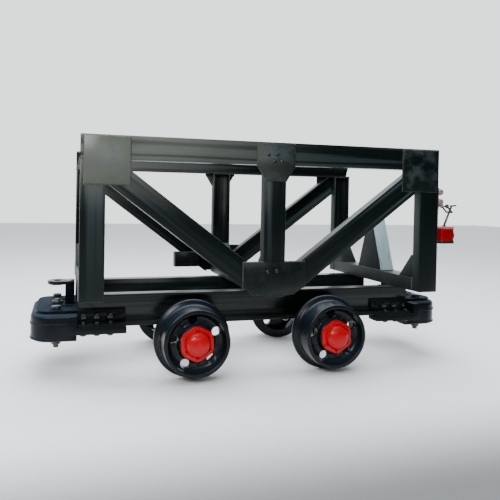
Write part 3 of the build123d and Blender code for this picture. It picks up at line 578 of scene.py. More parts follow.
def turned(points, centre, sides=96, closed=True):
    """A turned piece about a line along Y: a ring drawn through (radius, y) points."""
    radius, y = points[0]
    activate()
    bpy.ops.mesh.primitive_circle_add(vertices=sides, radius=radius, rotation=(math.pi / 2, 0, 0),
                                      location=(centre.x, y, centre.z))
    piece = settle(bpy.context.object)
    bpy.ops.object.mode_set(mode="EDIT")
    bpy.ops.mesh.select_mode(type="EDGE")
    bpy.ops.mesh.select_all(action="SELECT")
    last = points[:1] if closed else []
    ring = list(points) + last
    for (r0, y0), (r1, y1) in zip(ring, ring[1:]):
        bpy.ops.mesh.extrude_region_move(TRANSFORM_OT_translate={"value": (0, y1 - y0, 0)})
        bpy.ops.transform.resize(value=(r1 / r0, 1, r1 / r0), center_override=(centre.x, y1, centre.z))
    bpy.ops.mesh.select_all(action="SELECT")
    bpy.ops.mesh.remove_doubles(threshold=MERGE)
    bpy.ops.mesh.fill_holes(sides=0)
    bpy.ops.mesh.normals_make_consistent(inside=False)
    bpy.ops.object.mode_set(mode="OBJECT")
    return piece


def rounded(points, steps=4):
    """An outline of (x, y, rounding) points with its corners rounded."""
    made = []
    count = len(points)
    for i, (x, y, size) in enumerate(points):
        here = Vector((x, y))
        if not size:
            made.append((x, y))
            continue
        before = Vector(points[i - 1][:2]) - here
        after = Vector(points[(i + 1) % count][:2]) - here
        reach = min(size, before.length * 0.48, after.length * 0.48)
        start, end = here + before.normalized() * reach, here + after.normalized() * reach
        for k in range(steps + 1):
            t = k / steps
            made.append(tuple(start * (1 - t) ** 2 + here * 2 * t * (1 - t) + end * t * t))
    return made


def hand_over(piece, name, body, slot, material, *nodes):
    """Names a finished piece, paints it and puts it on its body."""
    piece.name = name
    piece.data.name = name
    piece.data.materials.clear()
    piece.data.materials.append(material)
    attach(piece, body)
    if nodes:
        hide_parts(*nodes)
    return piece


def hex_pattern(across_flats, height):
    """A bolt head along +Z: washer, chamfered hexagon and a slightly raised crown."""
    washer = sizes().washer
    pieces = [rod_piece((0, 0, 0), (0, 0, washer), across_flats * 0.62, 24)]
    head = rod_piece((0, 0, washer * 0.5), (0, 0, height), across_flats / math.sqrt(3), 6)
    pieces.append(soften(head, min(0.0016, height * 0.18), 2))
    crown = rod_piece((0, 0, height - 0.0005), (0, 0, height + 0.0008), across_flats * 0.40, 20)
    pieces.append(soften(crown, 0.0006, 2))
    return smooth(join(pieces), 45)


def bead_pattern():
    """One ripple of a weld bead, along +X."""
    activate()
    bpy.ops.mesh.primitive_uv_sphere_add(segments=10, ring_count=6, radius=1.0)
    piece = bpy.context.object
    width, pitch = sizes().bead_width, sizes().bead_pitch
    piece.data.transform(Matrix.Diagonal((pitch * 1.15, width, width * 0.75, 1)))
    return smooth(piece, 180)


def weld_bead(pattern, start, end):
    """A row of overlapping ripples from one point to another, a little uneven."""
    start, end = Vector(start), Vector(end)
    run = end - start
    count = max(2, int(run.length / sizes().bead_pitch))
    turn = Vector((1, 0, 0)).rotation_difference(run).to_matrix().to_4x4()
    ripples = []
    for i in range(count + 1):
        swell = random.uniform(0.86, 1.12)
        place = Matrix.Translation(start + run * (i / count)) @ turn @ Matrix.Scale(swell, 4)
        ripples.append(stamp(pattern, place))
    return join(ripples)


# ---- rolled members, plate and welds -------------------------------------------------------------
KEEPER_RIM_RADIUS = 0.0365
KEEPER_RIM_ROUND = 0.0098
KEEPER_RIM_DROP = 0.008     # from the top of the eye down to the middle of its rim
RIVET_HEIGHT = 0.55         # of a head, over its radius
UPPER_RIVETS = 0.044        # above the underside of the chord
LOWER_RIVETS = 0.112        # above the foot of the middle post
CORNER_PLATE_INNER = 0.198  # from the truss's end to the plate's edge
CORNER_PLATE_OUTER = 0.014
CORNER_PLATE_HEIGHT = 0.193
MIDDLE_PLATE_HALF = 0.087
MIDDLE_PLATE_SIDE = 0.100
MIDDLE_PLATE_HEIGHT = 0.160
FOOT_PLATE_HALF = 0.143
FOOT_PLATE_HIGH = 0.154     # above the foot of the middle post
FOOT_PLATE_LOW = 0.042
POST_HALF = 0.050
TOE = 0.004                 # from a corner to the middle of the bead in it
BEAD_SEED = 7


class CART_OT_rolled_members(bpy.types.Operator):
    """Round the edges and roots of every rolled channel and paint it along its length"""
    bl_idname = "cart.rolled_members"
    bl_label = "Rolled members"

    def member(self, node, paint):
        piece = smooth(soften(copy_of(node), sizes().rolled_edge, 3), 30)
        hand_over(piece, f"{node}_rolled", FRAME_BODY, "frame_paint", paint, node)

    def execute(self, context):
        for side in SIDES:
            self.member(f"{side}_top_chord", chord_paint())
            self.member(f"{side}_longitudinal", chord_paint())
            self.member(f"{side}_mid_post", post_paint())
            for end_name, end in ENDS.items():
                self.member(f"{side}_{end_name}_post", post_paint())
                self.member(f"{side}_{end_name}_diagonal", slanting_paint(end))
        return {"FINISHED"}


class CART_OT_plate_work(bpy.types.Operator):
    """Round the edges of the bearers, braces, stanchions, gussets, keepers and axle seats"""
    bl_idname = "cart.plate_work"
    bl_label = "Plate work"

    def execute(self, context):
        plate = finish("plate_paint", plate_paint)
        cast = finish("seat_paint", cast_paint, bloom=0.35, grain=170.0)
        edge = sizes().plate_edge
        for node in ("left_bearer", "centre_bearer", "right_bearer", "bearer_braces", "far_side_box",
                     "near_gussets", "far_gussets"):
            piece = smooth(soften(copy_of(node), edge, 2), 30)
            hand_over(piece, f"{node}_plate", FRAME_BODY, "frame_paint", plate, node)
        for end_name in ENDS:
            node = f"{end_name}_pin_keeper"
            eye = middle(f"{end_name}_coupling_pin")
            activate()
            bpy.ops.mesh.primitive_torus_add(
                location=(eye.x, eye.y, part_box(node)[1].z - KEEPER_RIM_DROP), major_segments=48,
                minor_segments=14, major_radius=KEEPER_RIM_RADIUS, minor_radius=KEEPER_RIM_ROUND)
            rim = settle(bpy.context.object)
            piece = smooth(join([soften(copy_of(node), edge, 2), rim]), 40)
            hand_over(piece, f"{node}_plate", FRAME_BODY, "frame_paint",
                      finish("keeper_paint", cast_paint, bloom=0.25, grain=110.0, sheen=0.2), node)
        for node in ("left_stanchion", "right_stanchion"):
            piece = smooth(soften(copy_of(node), edge, 2), 30)
            hand_over(piece, f"{node}_plate", FRAME_BODY, "frame_paint",
                      finish("stanchion_paint", flank_grey_paint), node)
        seats = smooth(soften(copy_of("axle_seats"), sizes().cast_edge, 2, 40), 40)
        hand_over(seats, "axle_seats_cast", FRAME_BODY, "frame_paint", cast, "axle_seats")
        return {"FINISHED"}


def gusset_top():
    """Height of the upper edge of the corner and middle gussets."""
    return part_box("near_gussets")[1].z


class CART_OT_rivets(bpy.types.Operator):
    """Add the domed rivet heads of the middle gussets"""
    bl_idname = "cart.rivets"
    bl_label = "Gusset rivets"

    def execute(self, context):
        radius = sizes().rivet_radius
        activate()
        bpy.ops.mesh.primitive_uv_sphere_add(segments=20, ring_count=12, radius=radius)
        pattern = bpy.context.object
        pattern.data.transform(Matrix.Diagonal((1, 1, RIVET_HEIGHT, 1)))
        smooth(pattern, 180)
        upper = CHORD_LOW + UPPER_RIVETS
        lower = POST_LOW + LOWER_RIVETS
        places = [(-0.038, upper), (0.002, upper + 0.001), (-0.012, upper - 0.031),
                  (0.024, upper - 0.030), (-0.033, lower), (0.009, lower + 0.003)]
        for side_name, side in SIDES.items():
            heads = [stamp(pattern, aim((x, side * PLATE_Y, z), (0, side, 0))) for x, z in places]
            hand_over(join(heads), f"{side_name}_gusset_rivets", FRAME_BODY, "frame_paint",
                      finish("rivet_paint", cast_paint, bloom=0.3, grain=90.0, sheen=0.5))
        discard(pattern)
        return {"FINISHED"}


class CART_OT_welds(bpy.types.Operator):
    """Lay the weld beads that hold gussets, posts, diagonals and bearers"""
    bl_idname = "cart.welds"
    bl_label = "Weld beads"

    def truss_runs(self, side):
        """Start and end of each bead on one truss, on the outer faces of its channels."""
        y = side * WEB_Y
        root = side * (FLANGE_Y + TOE)
        top = gusset_top()
        corner_low = top - CORNER_PLATE_HEIGHT
        middle_low = top - MIDDLE_PLATE_HEIGHT
        foot_high = POST_LOW + FOOT_PLATE_HIGH
        runs = []
        for end in ENDS.values():
            inner = end * (TRUSS_END - CORNER_PLATE_INNER)
            outer = end * (TRUSS_END - CORNER_PLATE_OUTER)
            waist = end * MIDDLE_PLATE_HALF
            post = end * POST_HALF
            foot = end * FOOT_PLATE_HALF
            post_in = end * (POST_EDGE + 0.0004)
            runs += [((inner, y, corner_low), (inner, y, top)),
                     ((inner, y, corner_low), (outer, y, corner_low)),
                     ((outer, y, corner_low), (outer, y, top)),
                     ((inner, y, top), (outer, y, top)),
                     ((waist, y, top), (waist, y, top - MIDDLE_PLATE_SIDE)),
                     ((post, y, middle_low), (0, y, middle_low)),
                     ((foot, y, foot_high), (post, y, foot_high)),
                     ((foot, y, foot_high), (foot, y, POST_LOW + FOOT_PLATE_LOW)),
                     ((post_in, root, CHORD_LOW), (end * TRUSS_END, root, CHORD_LOW))]
        runs.append(((-MID_HALF, root, CHORD_LOW), (MID_HALF, root, CHORD_LOW)))
        return runs

    def execute(self, context):
        random.seed(BEAD_SEED)
        pattern = bead_pattern()
        paint = finish("weld_paint", weld_paint)
        for side_name, side in SIDES.items():
            beads = [weld_bead(pattern, start, end) for start, end in self.truss_runs(side)]
            hand_over(join(beads), f"{side_name}_truss_welds", FRAME_BODY, "frame_paint", paint)
        floor_beads = []
        for node in ("left_bearer", "centre_bearer", "right_bearer"):
            low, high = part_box(node)
            for x in (low.x, high.x):
                for side in SIDES.values():
                    y = side * (high.y - 0.001)
                    floor_beads.append(weld_bead(pattern, (x, y, low.z + TOE), (x, y, high.z)))
        for node in ("left_stanchion", "right_stanchion"):
            low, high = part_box(node)
            for x in (low.x, high.x):
                floor_beads.append(weld_bead(pattern, (x, low.y, low.z), (x, high.y, low.z)))
            for y in (low.y, high.y):
                floor_beads.append(weld_bead(pattern, (low.x, y, low.z), (high.x, y, low.z)))
        hand_over(join(floor_beads), "bearer_welds", FRAME_BODY, "frame_paint", paint)
        discard(pattern)
        return {"FINISHED"}


# ---- wheels, caps and axles ----------------------------------------------------------------------
WHEEL_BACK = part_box("far_left_wheel")[0].y
WHEEL_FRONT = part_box("far_left_wheel")[1].y
FLANGE_RADIUS = (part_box("far_left_wheel")[1].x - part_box("far_left_wheel")[0].x) / 2
FLANGE_HEIGHT = 0.025
TREAD_RADIUS = FLANGE_RADIUS - FLANGE_HEIGHT
TREAD_TAPER = 0.0025        # how much smaller the tread's radius is at its front
RIM_DEPTH = 0.021           # from the tread in to the inside of the rim
HUB_RADIUS = 0.076
HUB_BACK = 0.290            # Y of the hub's back face
BORE_RADIUS = 0.045         # round the outer rings of the bearings
BORE_BACK = 0.302
THROAT_RADIUS = 0.027       # round the axle, behind the bearings
DISC_BACK = 0.346           # Y of the two faces of the disc between hub and rim
DISC_FRONT = 0.361
CAP_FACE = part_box("far_left_hub_cap")[0].y
CAP_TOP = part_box("far_left_hub_cap")[1].y
CAP_RADIUS = 0.083          # of the six-sided flange, over its sharp corners
CAP_PHASE = 33.0
CAP_FLANGE = 0.010          # thickness
CAP_CORNER = 0.019          # rounding of the flange's corners
CAP_BOLT_CIRCLE = 0.0668
CAP_BOLT_FLATS = 0.0135
CAP_BOLT_HEIGHT = 0.0075
DOME_RADIUS = 0.0563
DOME_STEPS = 12
RING_EDGE = 0.0008          # rounding of the bearing rings
WINDOW_COUNT = 5
WINDOW_RADIUS = 0.021
WINDOW_PITCH = 0.1015       # radius of the circle that the windows stand on
WINDOW_PHASE = 26.0
SPOKE_INNER = 0.080         # ends of the low ribs between the windows, from the axle
SPOKE_OUTER = 0.106
SPOKE_RADIUS = 0.0055


def around(centre, count, radius, phase):
    """(x, z) places on a circle round a line along Y, the first at the phase in degrees."""
    angles = [math.radians(phase + i * 360 / count) for i in range(count)]
    return [(centre.x + radius * math.cos(a), centre.z + radius * math.sin(a)) for a in angles]


class CART_OT_wheels(bpy.types.Operator):
    """Turn the four cast wheels: flange, coned tread, dished disc, lipped windows and hub"""
    bl_idname = "cart.wheels"
    bl_label = "Cast wheels"

    def profile(self, side):
        """Outline of a wheel from the back of its flange round to the back of its disc."""
        rim = TREAD_RADIUS - RIM_DEPTH
        outline = [
            (rim, WHEEL_BACK, 0.003), (FLANGE_RADIUS, WHEEL_BACK, 0.009),
            (FLANGE_RADIUS, WHEEL_BACK + 0.020, 0.008),
            (TREAD_RADIUS + 0.001, WHEEL_BACK + 0.030, 0.013),
            (TREAD_RADIUS - TREAD_TAPER, WHEEL_FRONT, 0.006), (rim + 0.001, WHEEL_FRONT, 0.005),
            (rim - 0.002, DISC_FRONT + 0.014, 0.010), (rim - 0.016, DISC_FRONT, 0.010),
            (HUB_RADIUS + 0.008, DISC_FRONT, 0.008), (HUB_RADIUS + 0.001, CAP_FACE, 0.003),
            (BORE_RADIUS, CAP_FACE, 0), (BORE_RADIUS, BORE_BACK, 0),
            (THROAT_RADIUS, BORE_BACK, 0), (THROAT_RADIUS, HUB_BACK, 0),
            (HUB_RADIUS - 0.014, HUB_BACK, 0.004), (HUB_RADIUS, DISC_BACK, 0.012),
            (rim - 0.010, DISC_BACK, 0.010), (rim, DISC_BACK - 0.012, 0.006),
        ]
        return [(r, side * y) for r, y in rounded(outline, 5)]

    def build(self, side_name):
        """The left wheel of one side."""
        x, side, z = wheel_place(side_name, "left")
        centre = Vector((x, 0, z))
        wheel = turned(self.profile(side), centre, 112)
        cutters, lips = [], []
        for px, pz in around(centre, WINDOW_COUNT, WINDOW_PITCH, WINDOW_PHASE):
            cutters.append(rod_piece((px, side * (DISC_BACK - 0.016), pz),
                                     (px, side * (DISC_FRONT + 0.014), pz), WINDOW_RADIUS, 36))
            activate()
            bpy.ops.mesh.primitive_torus_add(
                location=(px, side * DISC_FRONT, pz), rotation=(math.pi / 2, 0, 0), major_segments=36,
                minor_segments=10, major_radius=WINDOW_RADIUS + sizes().window_lip * 0.6,
                minor_radius=sizes().window_lip)
            lips.append(settle(bpy.context.object))
        cutter = join(cutters)
        modify(wheel, "BOOLEAN", operation="DIFFERENCE", solver="EXACT", object=cutter)
        discard(cutter)
        spokes = []
        for px, pz in around(centre, WINDOW_COUNT, SPOKE_OUTER, WINDOW_PHASE + 180 / WINDOW_COUNT):
            inner = centre + (Vector((px, 0, pz)) - centre).normalized() * SPOKE_INNER
            spoke = rod_piece((inner.x, side * (DISC_FRONT - 0.002), inner.z),
                              (px, side * (DISC_FRONT + 0.001), pz), SPOKE_RADIUS, 12)
            spokes.append(soften(spoke, 0.002, 2))
        return smooth(join([wheel, *lips, *spokes]), 32)

    def execute(self, context):
        paint = finish("wheel_paint", cast_paint, bloom=0.10, grain=120.0, sheen=0.20)
        for side_name in SIDES:
            wheel = self.build(side_name)
            shift = wheel_place(side_name, "right")[0] - wheel_place(side_name, "left")[0]
            other = stamp(wheel, Matrix.Translation((shift, 0, 0)))
            for end_name, piece in (("left", wheel), ("right", other)):
                node = f"{side_name}_{end_name}_wheel"
                hand_over(piece, f"{node}_casting", f"{node}_set", "wheel_paint", paint, node)
        return {"FINISHED"}


class CART_OT_hub_caps(bpy.types.Operator):
    """Model the red bearing caps with their six-sided flanges, domes and bolts"""
    bl_idname = "cart.hub_caps"
    bl_label = "Bearing caps"

    def cap(self, centre, side):
        """The flange and the dome of one cap, not yet joined."""
        face = CAP_FACE + CAP_FLANGE
        flange = rod_piece((0, 0, CAP_FACE), (0, 0, face), CAP_RADIUS, 6)
        bevel_edges(flange, CAP_CORNER, 7, lambda a, b: abs(a.z - b.z) > 0.005)
        soften(flange, 0.0022, 3, 50)
        base = aim(Vector((centre.x, 0, centre.z)), (0, side, 0))
        spin = Matrix.Rotation(math.radians(-side * (CAP_PHASE - 30)), 4, "Z")
        flange.data.transform(base @ spin)
        high = CAP_TOP - face
        outline = [(0.0590, face - 0.002), (0.0586, face + 0.0008), (0.0568, face + 0.0030)]
        for step in range(DOME_STEPS):
            angle = math.radians(8 + step * 7.4)
            outline.append((DOME_RADIUS * math.cos(angle) ** 0.72, face + high * math.sin(angle) ** 0.95))
        dome = turned([(r, side * y) for r, y in outline], centre, 72, closed=False)
        return flange, dome

    def execute(self, context):
        bolt = hex_pattern(CAP_BOLT_FLATS, CAP_BOLT_HEIGHT)
        paint = finish("cap_enamel", enamel, tone=list(colours().red))
        for side_name in SIDES:
            x, side, z = wheel_place(side_name, "left")
            centre = Vector((x, 0, z))
            cap = smooth(join(list(self.cap(centre, side))), 40)
            heads = join([stamp(bolt, aim((px, side * (CAP_FACE + CAP_FLANGE), pz), (0, side, 0)))
                          for px, pz in around(centre, 6, CAP_BOLT_CIRCLE, CAP_PHASE)])
            shift = Matrix.Translation((wheel_place(side_name, "right")[0] - x, 0, 0))
            for end_name, cap_piece, bolt_piece in (("right", stamp(cap, shift), stamp(heads, shift)),
                                                    ("left", cap, heads)):
                label = f"{side_name}_{end_name}"
                body = f"{label}_wheel_set"
                hand_over(cap_piece, f"{label}_cap_enamelled", body, "cap_paint", paint,
                          f"{label}_hub_cap")
                hand_over(bolt_piece, f"{label}_cap_bolt_heads", body, "cap_bolt_paint", paint,
                          f"{label}_cap_bolts")
        discard(bolt)
        return {"FINISHED"}


class CART_OT_axles(bpy.types.Operator):
    """Finish the axles, the bearings and the axle nuts in steel"""
    bl_idname = "cart.axles"
    bl_label = "Axles and bearings"

    def execute(self, context):
        steel = finish("axle_steel", worn_steel, tone=list(colours().steel), rust_share=0.35, rough=0.38)
        ground = finish("bearing_steel", worn_steel, tone=list(colours().ground), rust_share=0.0,
                        rough=0.22)
        for node in ("left_axle", "right_axle", "axle_nuts"):
            piece = smooth(soften(copy_of(node), sizes().plate_edge, 2, 40), 35)
            slot = "bolt_steel" if node == "axle_nuts" else "axle_steel"
            hand_over(piece, f"{node}_turned", FRAME_BODY, slot, steel, node)
        inner = smooth(soften(copy_of("bearing_inners"), RING_EDGE, 2, 40), 35)
        hand_over(inner, "bearing_inner_rings", FRAME_BODY, "bearing_steel", ground, "bearing_inners")
        for side_name in SIDES:
            for end_name in ENDS:
                node = f"{side_name}_{end_name}_bearing_outers"
                ring = smooth(soften(copy_of(node), RING_EDGE, 2, 40), 35)
                hand_over(ring, f"{node}_ground", f"{side_name}_{end_name}_wheel_set",
                          "bearing_steel", ground, node)
        return {"FINISHED"}


# ---- buffers, couplings and bolts ----------------------------------------------------------------
BUFFER_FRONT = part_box("right_buffer")[1].x
BUFFER_HALF = 0.215
BUFFER_CORNER = 0.086
BAND_PROUD = 0.003
BAND_HEIGHTS = ((0.236, 0.246), (0.172, 0.181))
MOUTH_LOW = (0.860, -0.095, 0.190)
MOUTH_HIGH = (1.060, 0.095, 0.228)
THROUGH_X = TRUSS_END + 0.089
THROUGH_Y = 0.158
BOSS_RADIUS = 0.031
BOSS_PROUD = 0.0025
RIB_X = (TRUSS_END + 0.052, TRUSS_END + 0.064)
RIB_Y = 0.085
RIB_HALF = 0.006
SUNK = 0.002                # depth of an added piece in what it stands on, so that the two overlap
BOLT_FLATS = {"buffer_bolts": 0.036, "tail_bolts": 0.024, "seat_bolts": 0.022}
CROWN_PROUD = 0.0016
CROWN_SHARE = 0.36          # radius of a crown over the width across the flats


class CART_OT_buffers(bpy.types.Operator):
    """Model the cast buffers: rounded casting, rubbing bands, cover with bosses"""
    bl_idname = "cart.buffers"
    bl_label = "Cast buffers"

    def band(self, end, low_z, high_z):
        """A raised band round the front and the sides, open at the coupling mouth."""
        half = BUFFER_HALF + BAND_PROUD
        xs = sorted((end * (TRUSS_END + 0.004), end * (BUFFER_FRONT + BAND_PROUD)))
        piece = box_piece((xs[0], -half, low_z), (xs[1], half, high_z))
        bevel_edges(piece, BUFFER_CORNER + BAND_PROUD, 10,
                    lambda a, b: abs(a.z - b.z) > 0.001 and abs(a.x) > TRUSS_END + 0.1)
        cutter = self.mouth(end)
        modify(piece, "BOOLEAN", operation="DIFFERENCE", solver="EXACT", object=cutter)
        discard(cutter)
        return soften(piece, 0.003, 3, 50)

    def mouth(self, end):
        """A block that fills the coupling mouth."""
        xs = sorted((end * MOUTH_LOW[0], end * MOUTH_HIGH[0]))
        return box_piece((xs[0], *MOUTH_LOW[1:]), (xs[1], *MOUTH_HIGH[1:]))

    def bosses(self, end):
        """Raised rings round the two through bolts and two low ribs, on the cover."""
        made = []
        for y in (-THROUGH_Y, THROUGH_Y):
            place = (end * THROUGH_X, y)
            boss = rod_piece((*place, COVER_TOP - SUNK), (*place, COVER_TOP + BOSS_PROUD), BOSS_RADIUS, 40)
            made.append(soften(boss, 0.0018, 3))
        xs = sorted(end * x for x in RIB_X)
        for y in (-RIB_Y, RIB_Y):
            rib = box_piece((xs[0] - 0.035, y - RIB_HALF, COVER_TOP - SUNK),
                            (xs[1] + 0.035, y + RIB_HALF, COVER_TOP + 0.006))
            made.append(soften(rib, 0.003, 3))
        return made

    def execute(self, context):
        paint = finish("buffer_paint", cast_paint, bloom=0.22, grain=95.0, sheen=0.12, matt=0.45)
        cover_paint = finish("cover_paint", cast_paint, bloom=0.16, grain=95.0, sheen=0.04, matt=0.5)
        for end_name, end in ENDS.items():
            casting = soften(copy_of(f"{end_name}_buffer"), sizes().cast_edge, 3, 40)
            bands = [self.band(end, low_z, high_z) for low_z, high_z in BAND_HEIGHTS]
            piece = smooth(join([casting, *bands]), 40)
            hand_over(piece, f"{end_name}_buffer_casting", FRAME_BODY, "buffer_paint", paint,
                      f"{end_name}_buffer")
            cover = soften(copy_of(f"{end_name}_buffer_cover"), 0.0035, 3, 40)
            piece = smooth(join([cover, *self.bosses(end)]), 40)
            hand_over(piece, f"{end_name}_buffer_top", FRAME_BODY, "buffer_paint", cover_paint,
                      f"{end_name}_buffer_cover")
        return {"FINISHED"}


class CART_OT_bolts(bpy.types.Operator):
    """Replace the plain bolts of the buffers, tails and axle seats with finished ones"""
    bl_idname = "cart.bolts"
    bl_label = "Bolts and nuts"

    def solids_of(self, node):
        """Each bolt of a node as an object of its own."""
        activate(copy_of(node))
        bpy.ops.object.mode_set(mode="EDIT")
        bpy.ops.mesh.select_all(action="SELECT")
        bpy.ops.mesh.separate(type="LOOSE")
        bpy.ops.object.mode_set(mode="OBJECT")
        return list(bpy.context.selected_objects)

    def crowns(self, solid, across_flats):
        """The raised middle of the head and of the nut, at the two ends of a bolt."""
        corners = [vertex.co for vertex in solid.data.vertices]
        low = Vector([min(c[i] for c in corners) for i in range(3)])
        high = Vector([max(c[i] for c in corners) for i in range(3)])
        span = high - low
        axis = 1 if span.y > span.z and span.y > span.x else 2
        made = []
        for sign, limit in ((-1, low), (1, high)):
            direction = Vector((0, 0, 0))
            direction[axis] = sign
            tip = (low + high) / 2
            tip[axis] = limit[axis]
            crown = rod_piece(tip - direction * SUNK, tip + direction * CROWN_PROUD,
                              across_flats * CROWN_SHARE, 20)
            made.append(soften(crown, 0.0012, 2))
        return made

    def execute(self, context):
        paint = finish("bolt_paint", bolt_paint)
        for node, across_flats in BOLT_FLATS.items():
            solids = self.solids_of(node)
            crowns = [crown for solid in solids for crown in self.crowns(solid, across_flats)]
            piece = soften(join(solids), 0.0014, 2, 40)
            piece = smooth(join([piece, *crowns]), 40)
            hand_over(piece, f"{node}_finished", FRAME_BODY, "bolt_steel", paint, node)
        return {"FINISHED"}


class CART_OT_couplings(bpy.types.Operator):
    """Finish the coupling pins that drop through the buffers"""
    bl_idname = "cart.couplings"
    bl_label = "Coupling pins"

    def execute(self, context):
        steel = finish("pin_steel", worn_steel, tone=list(colours().forged), rust_share=0.6, rough=0.42)
        for end_name in ENDS:
            node = f"{end_name}_coupling_pin"
            piece = smooth(soften(copy_of(node), 0.0018, 3, 25), 35)
            hand_over(piece, f"{node}_forged", f"{end_name}_pin", "pin_steel", steel, node)
        return {"FINISHED"}


# ---- tail lamp -----------------------------------------------------------------------------------
LID_INSET = 0.006
LID_PROUD = 0.001
FOOT_PROUD = 0.0012
RIB_PROUD = 0.0016
RIB_PITCH = 0.017
RIB_WIDTH = 0.004
BEZEL_RADIUS = 0.0262
BEZEL_ROUND = 0.0022
KNEE_Z = 0.756
BAR_RADIUS = 0.0050
HANDLE_RADIUS = 0.0040
KNOB_HEIGHTS = (0.804, 0.851)
KNOB_RADIUS = 0.0125
KNOB_FLUTES = 8
FLUTE_CIRCLE = 0.0122
FLUTE_RADIUS = 0.0028
BRACKET_PLATE = 0.006       # thickness
CHAIN_TOP_Z = 0.776
CHAIN_LINKS = 10
CHAIN_PITCH = 0.0088
LINK_RADIUS = 0.0046
WIRE_RADIUS = 0.0011


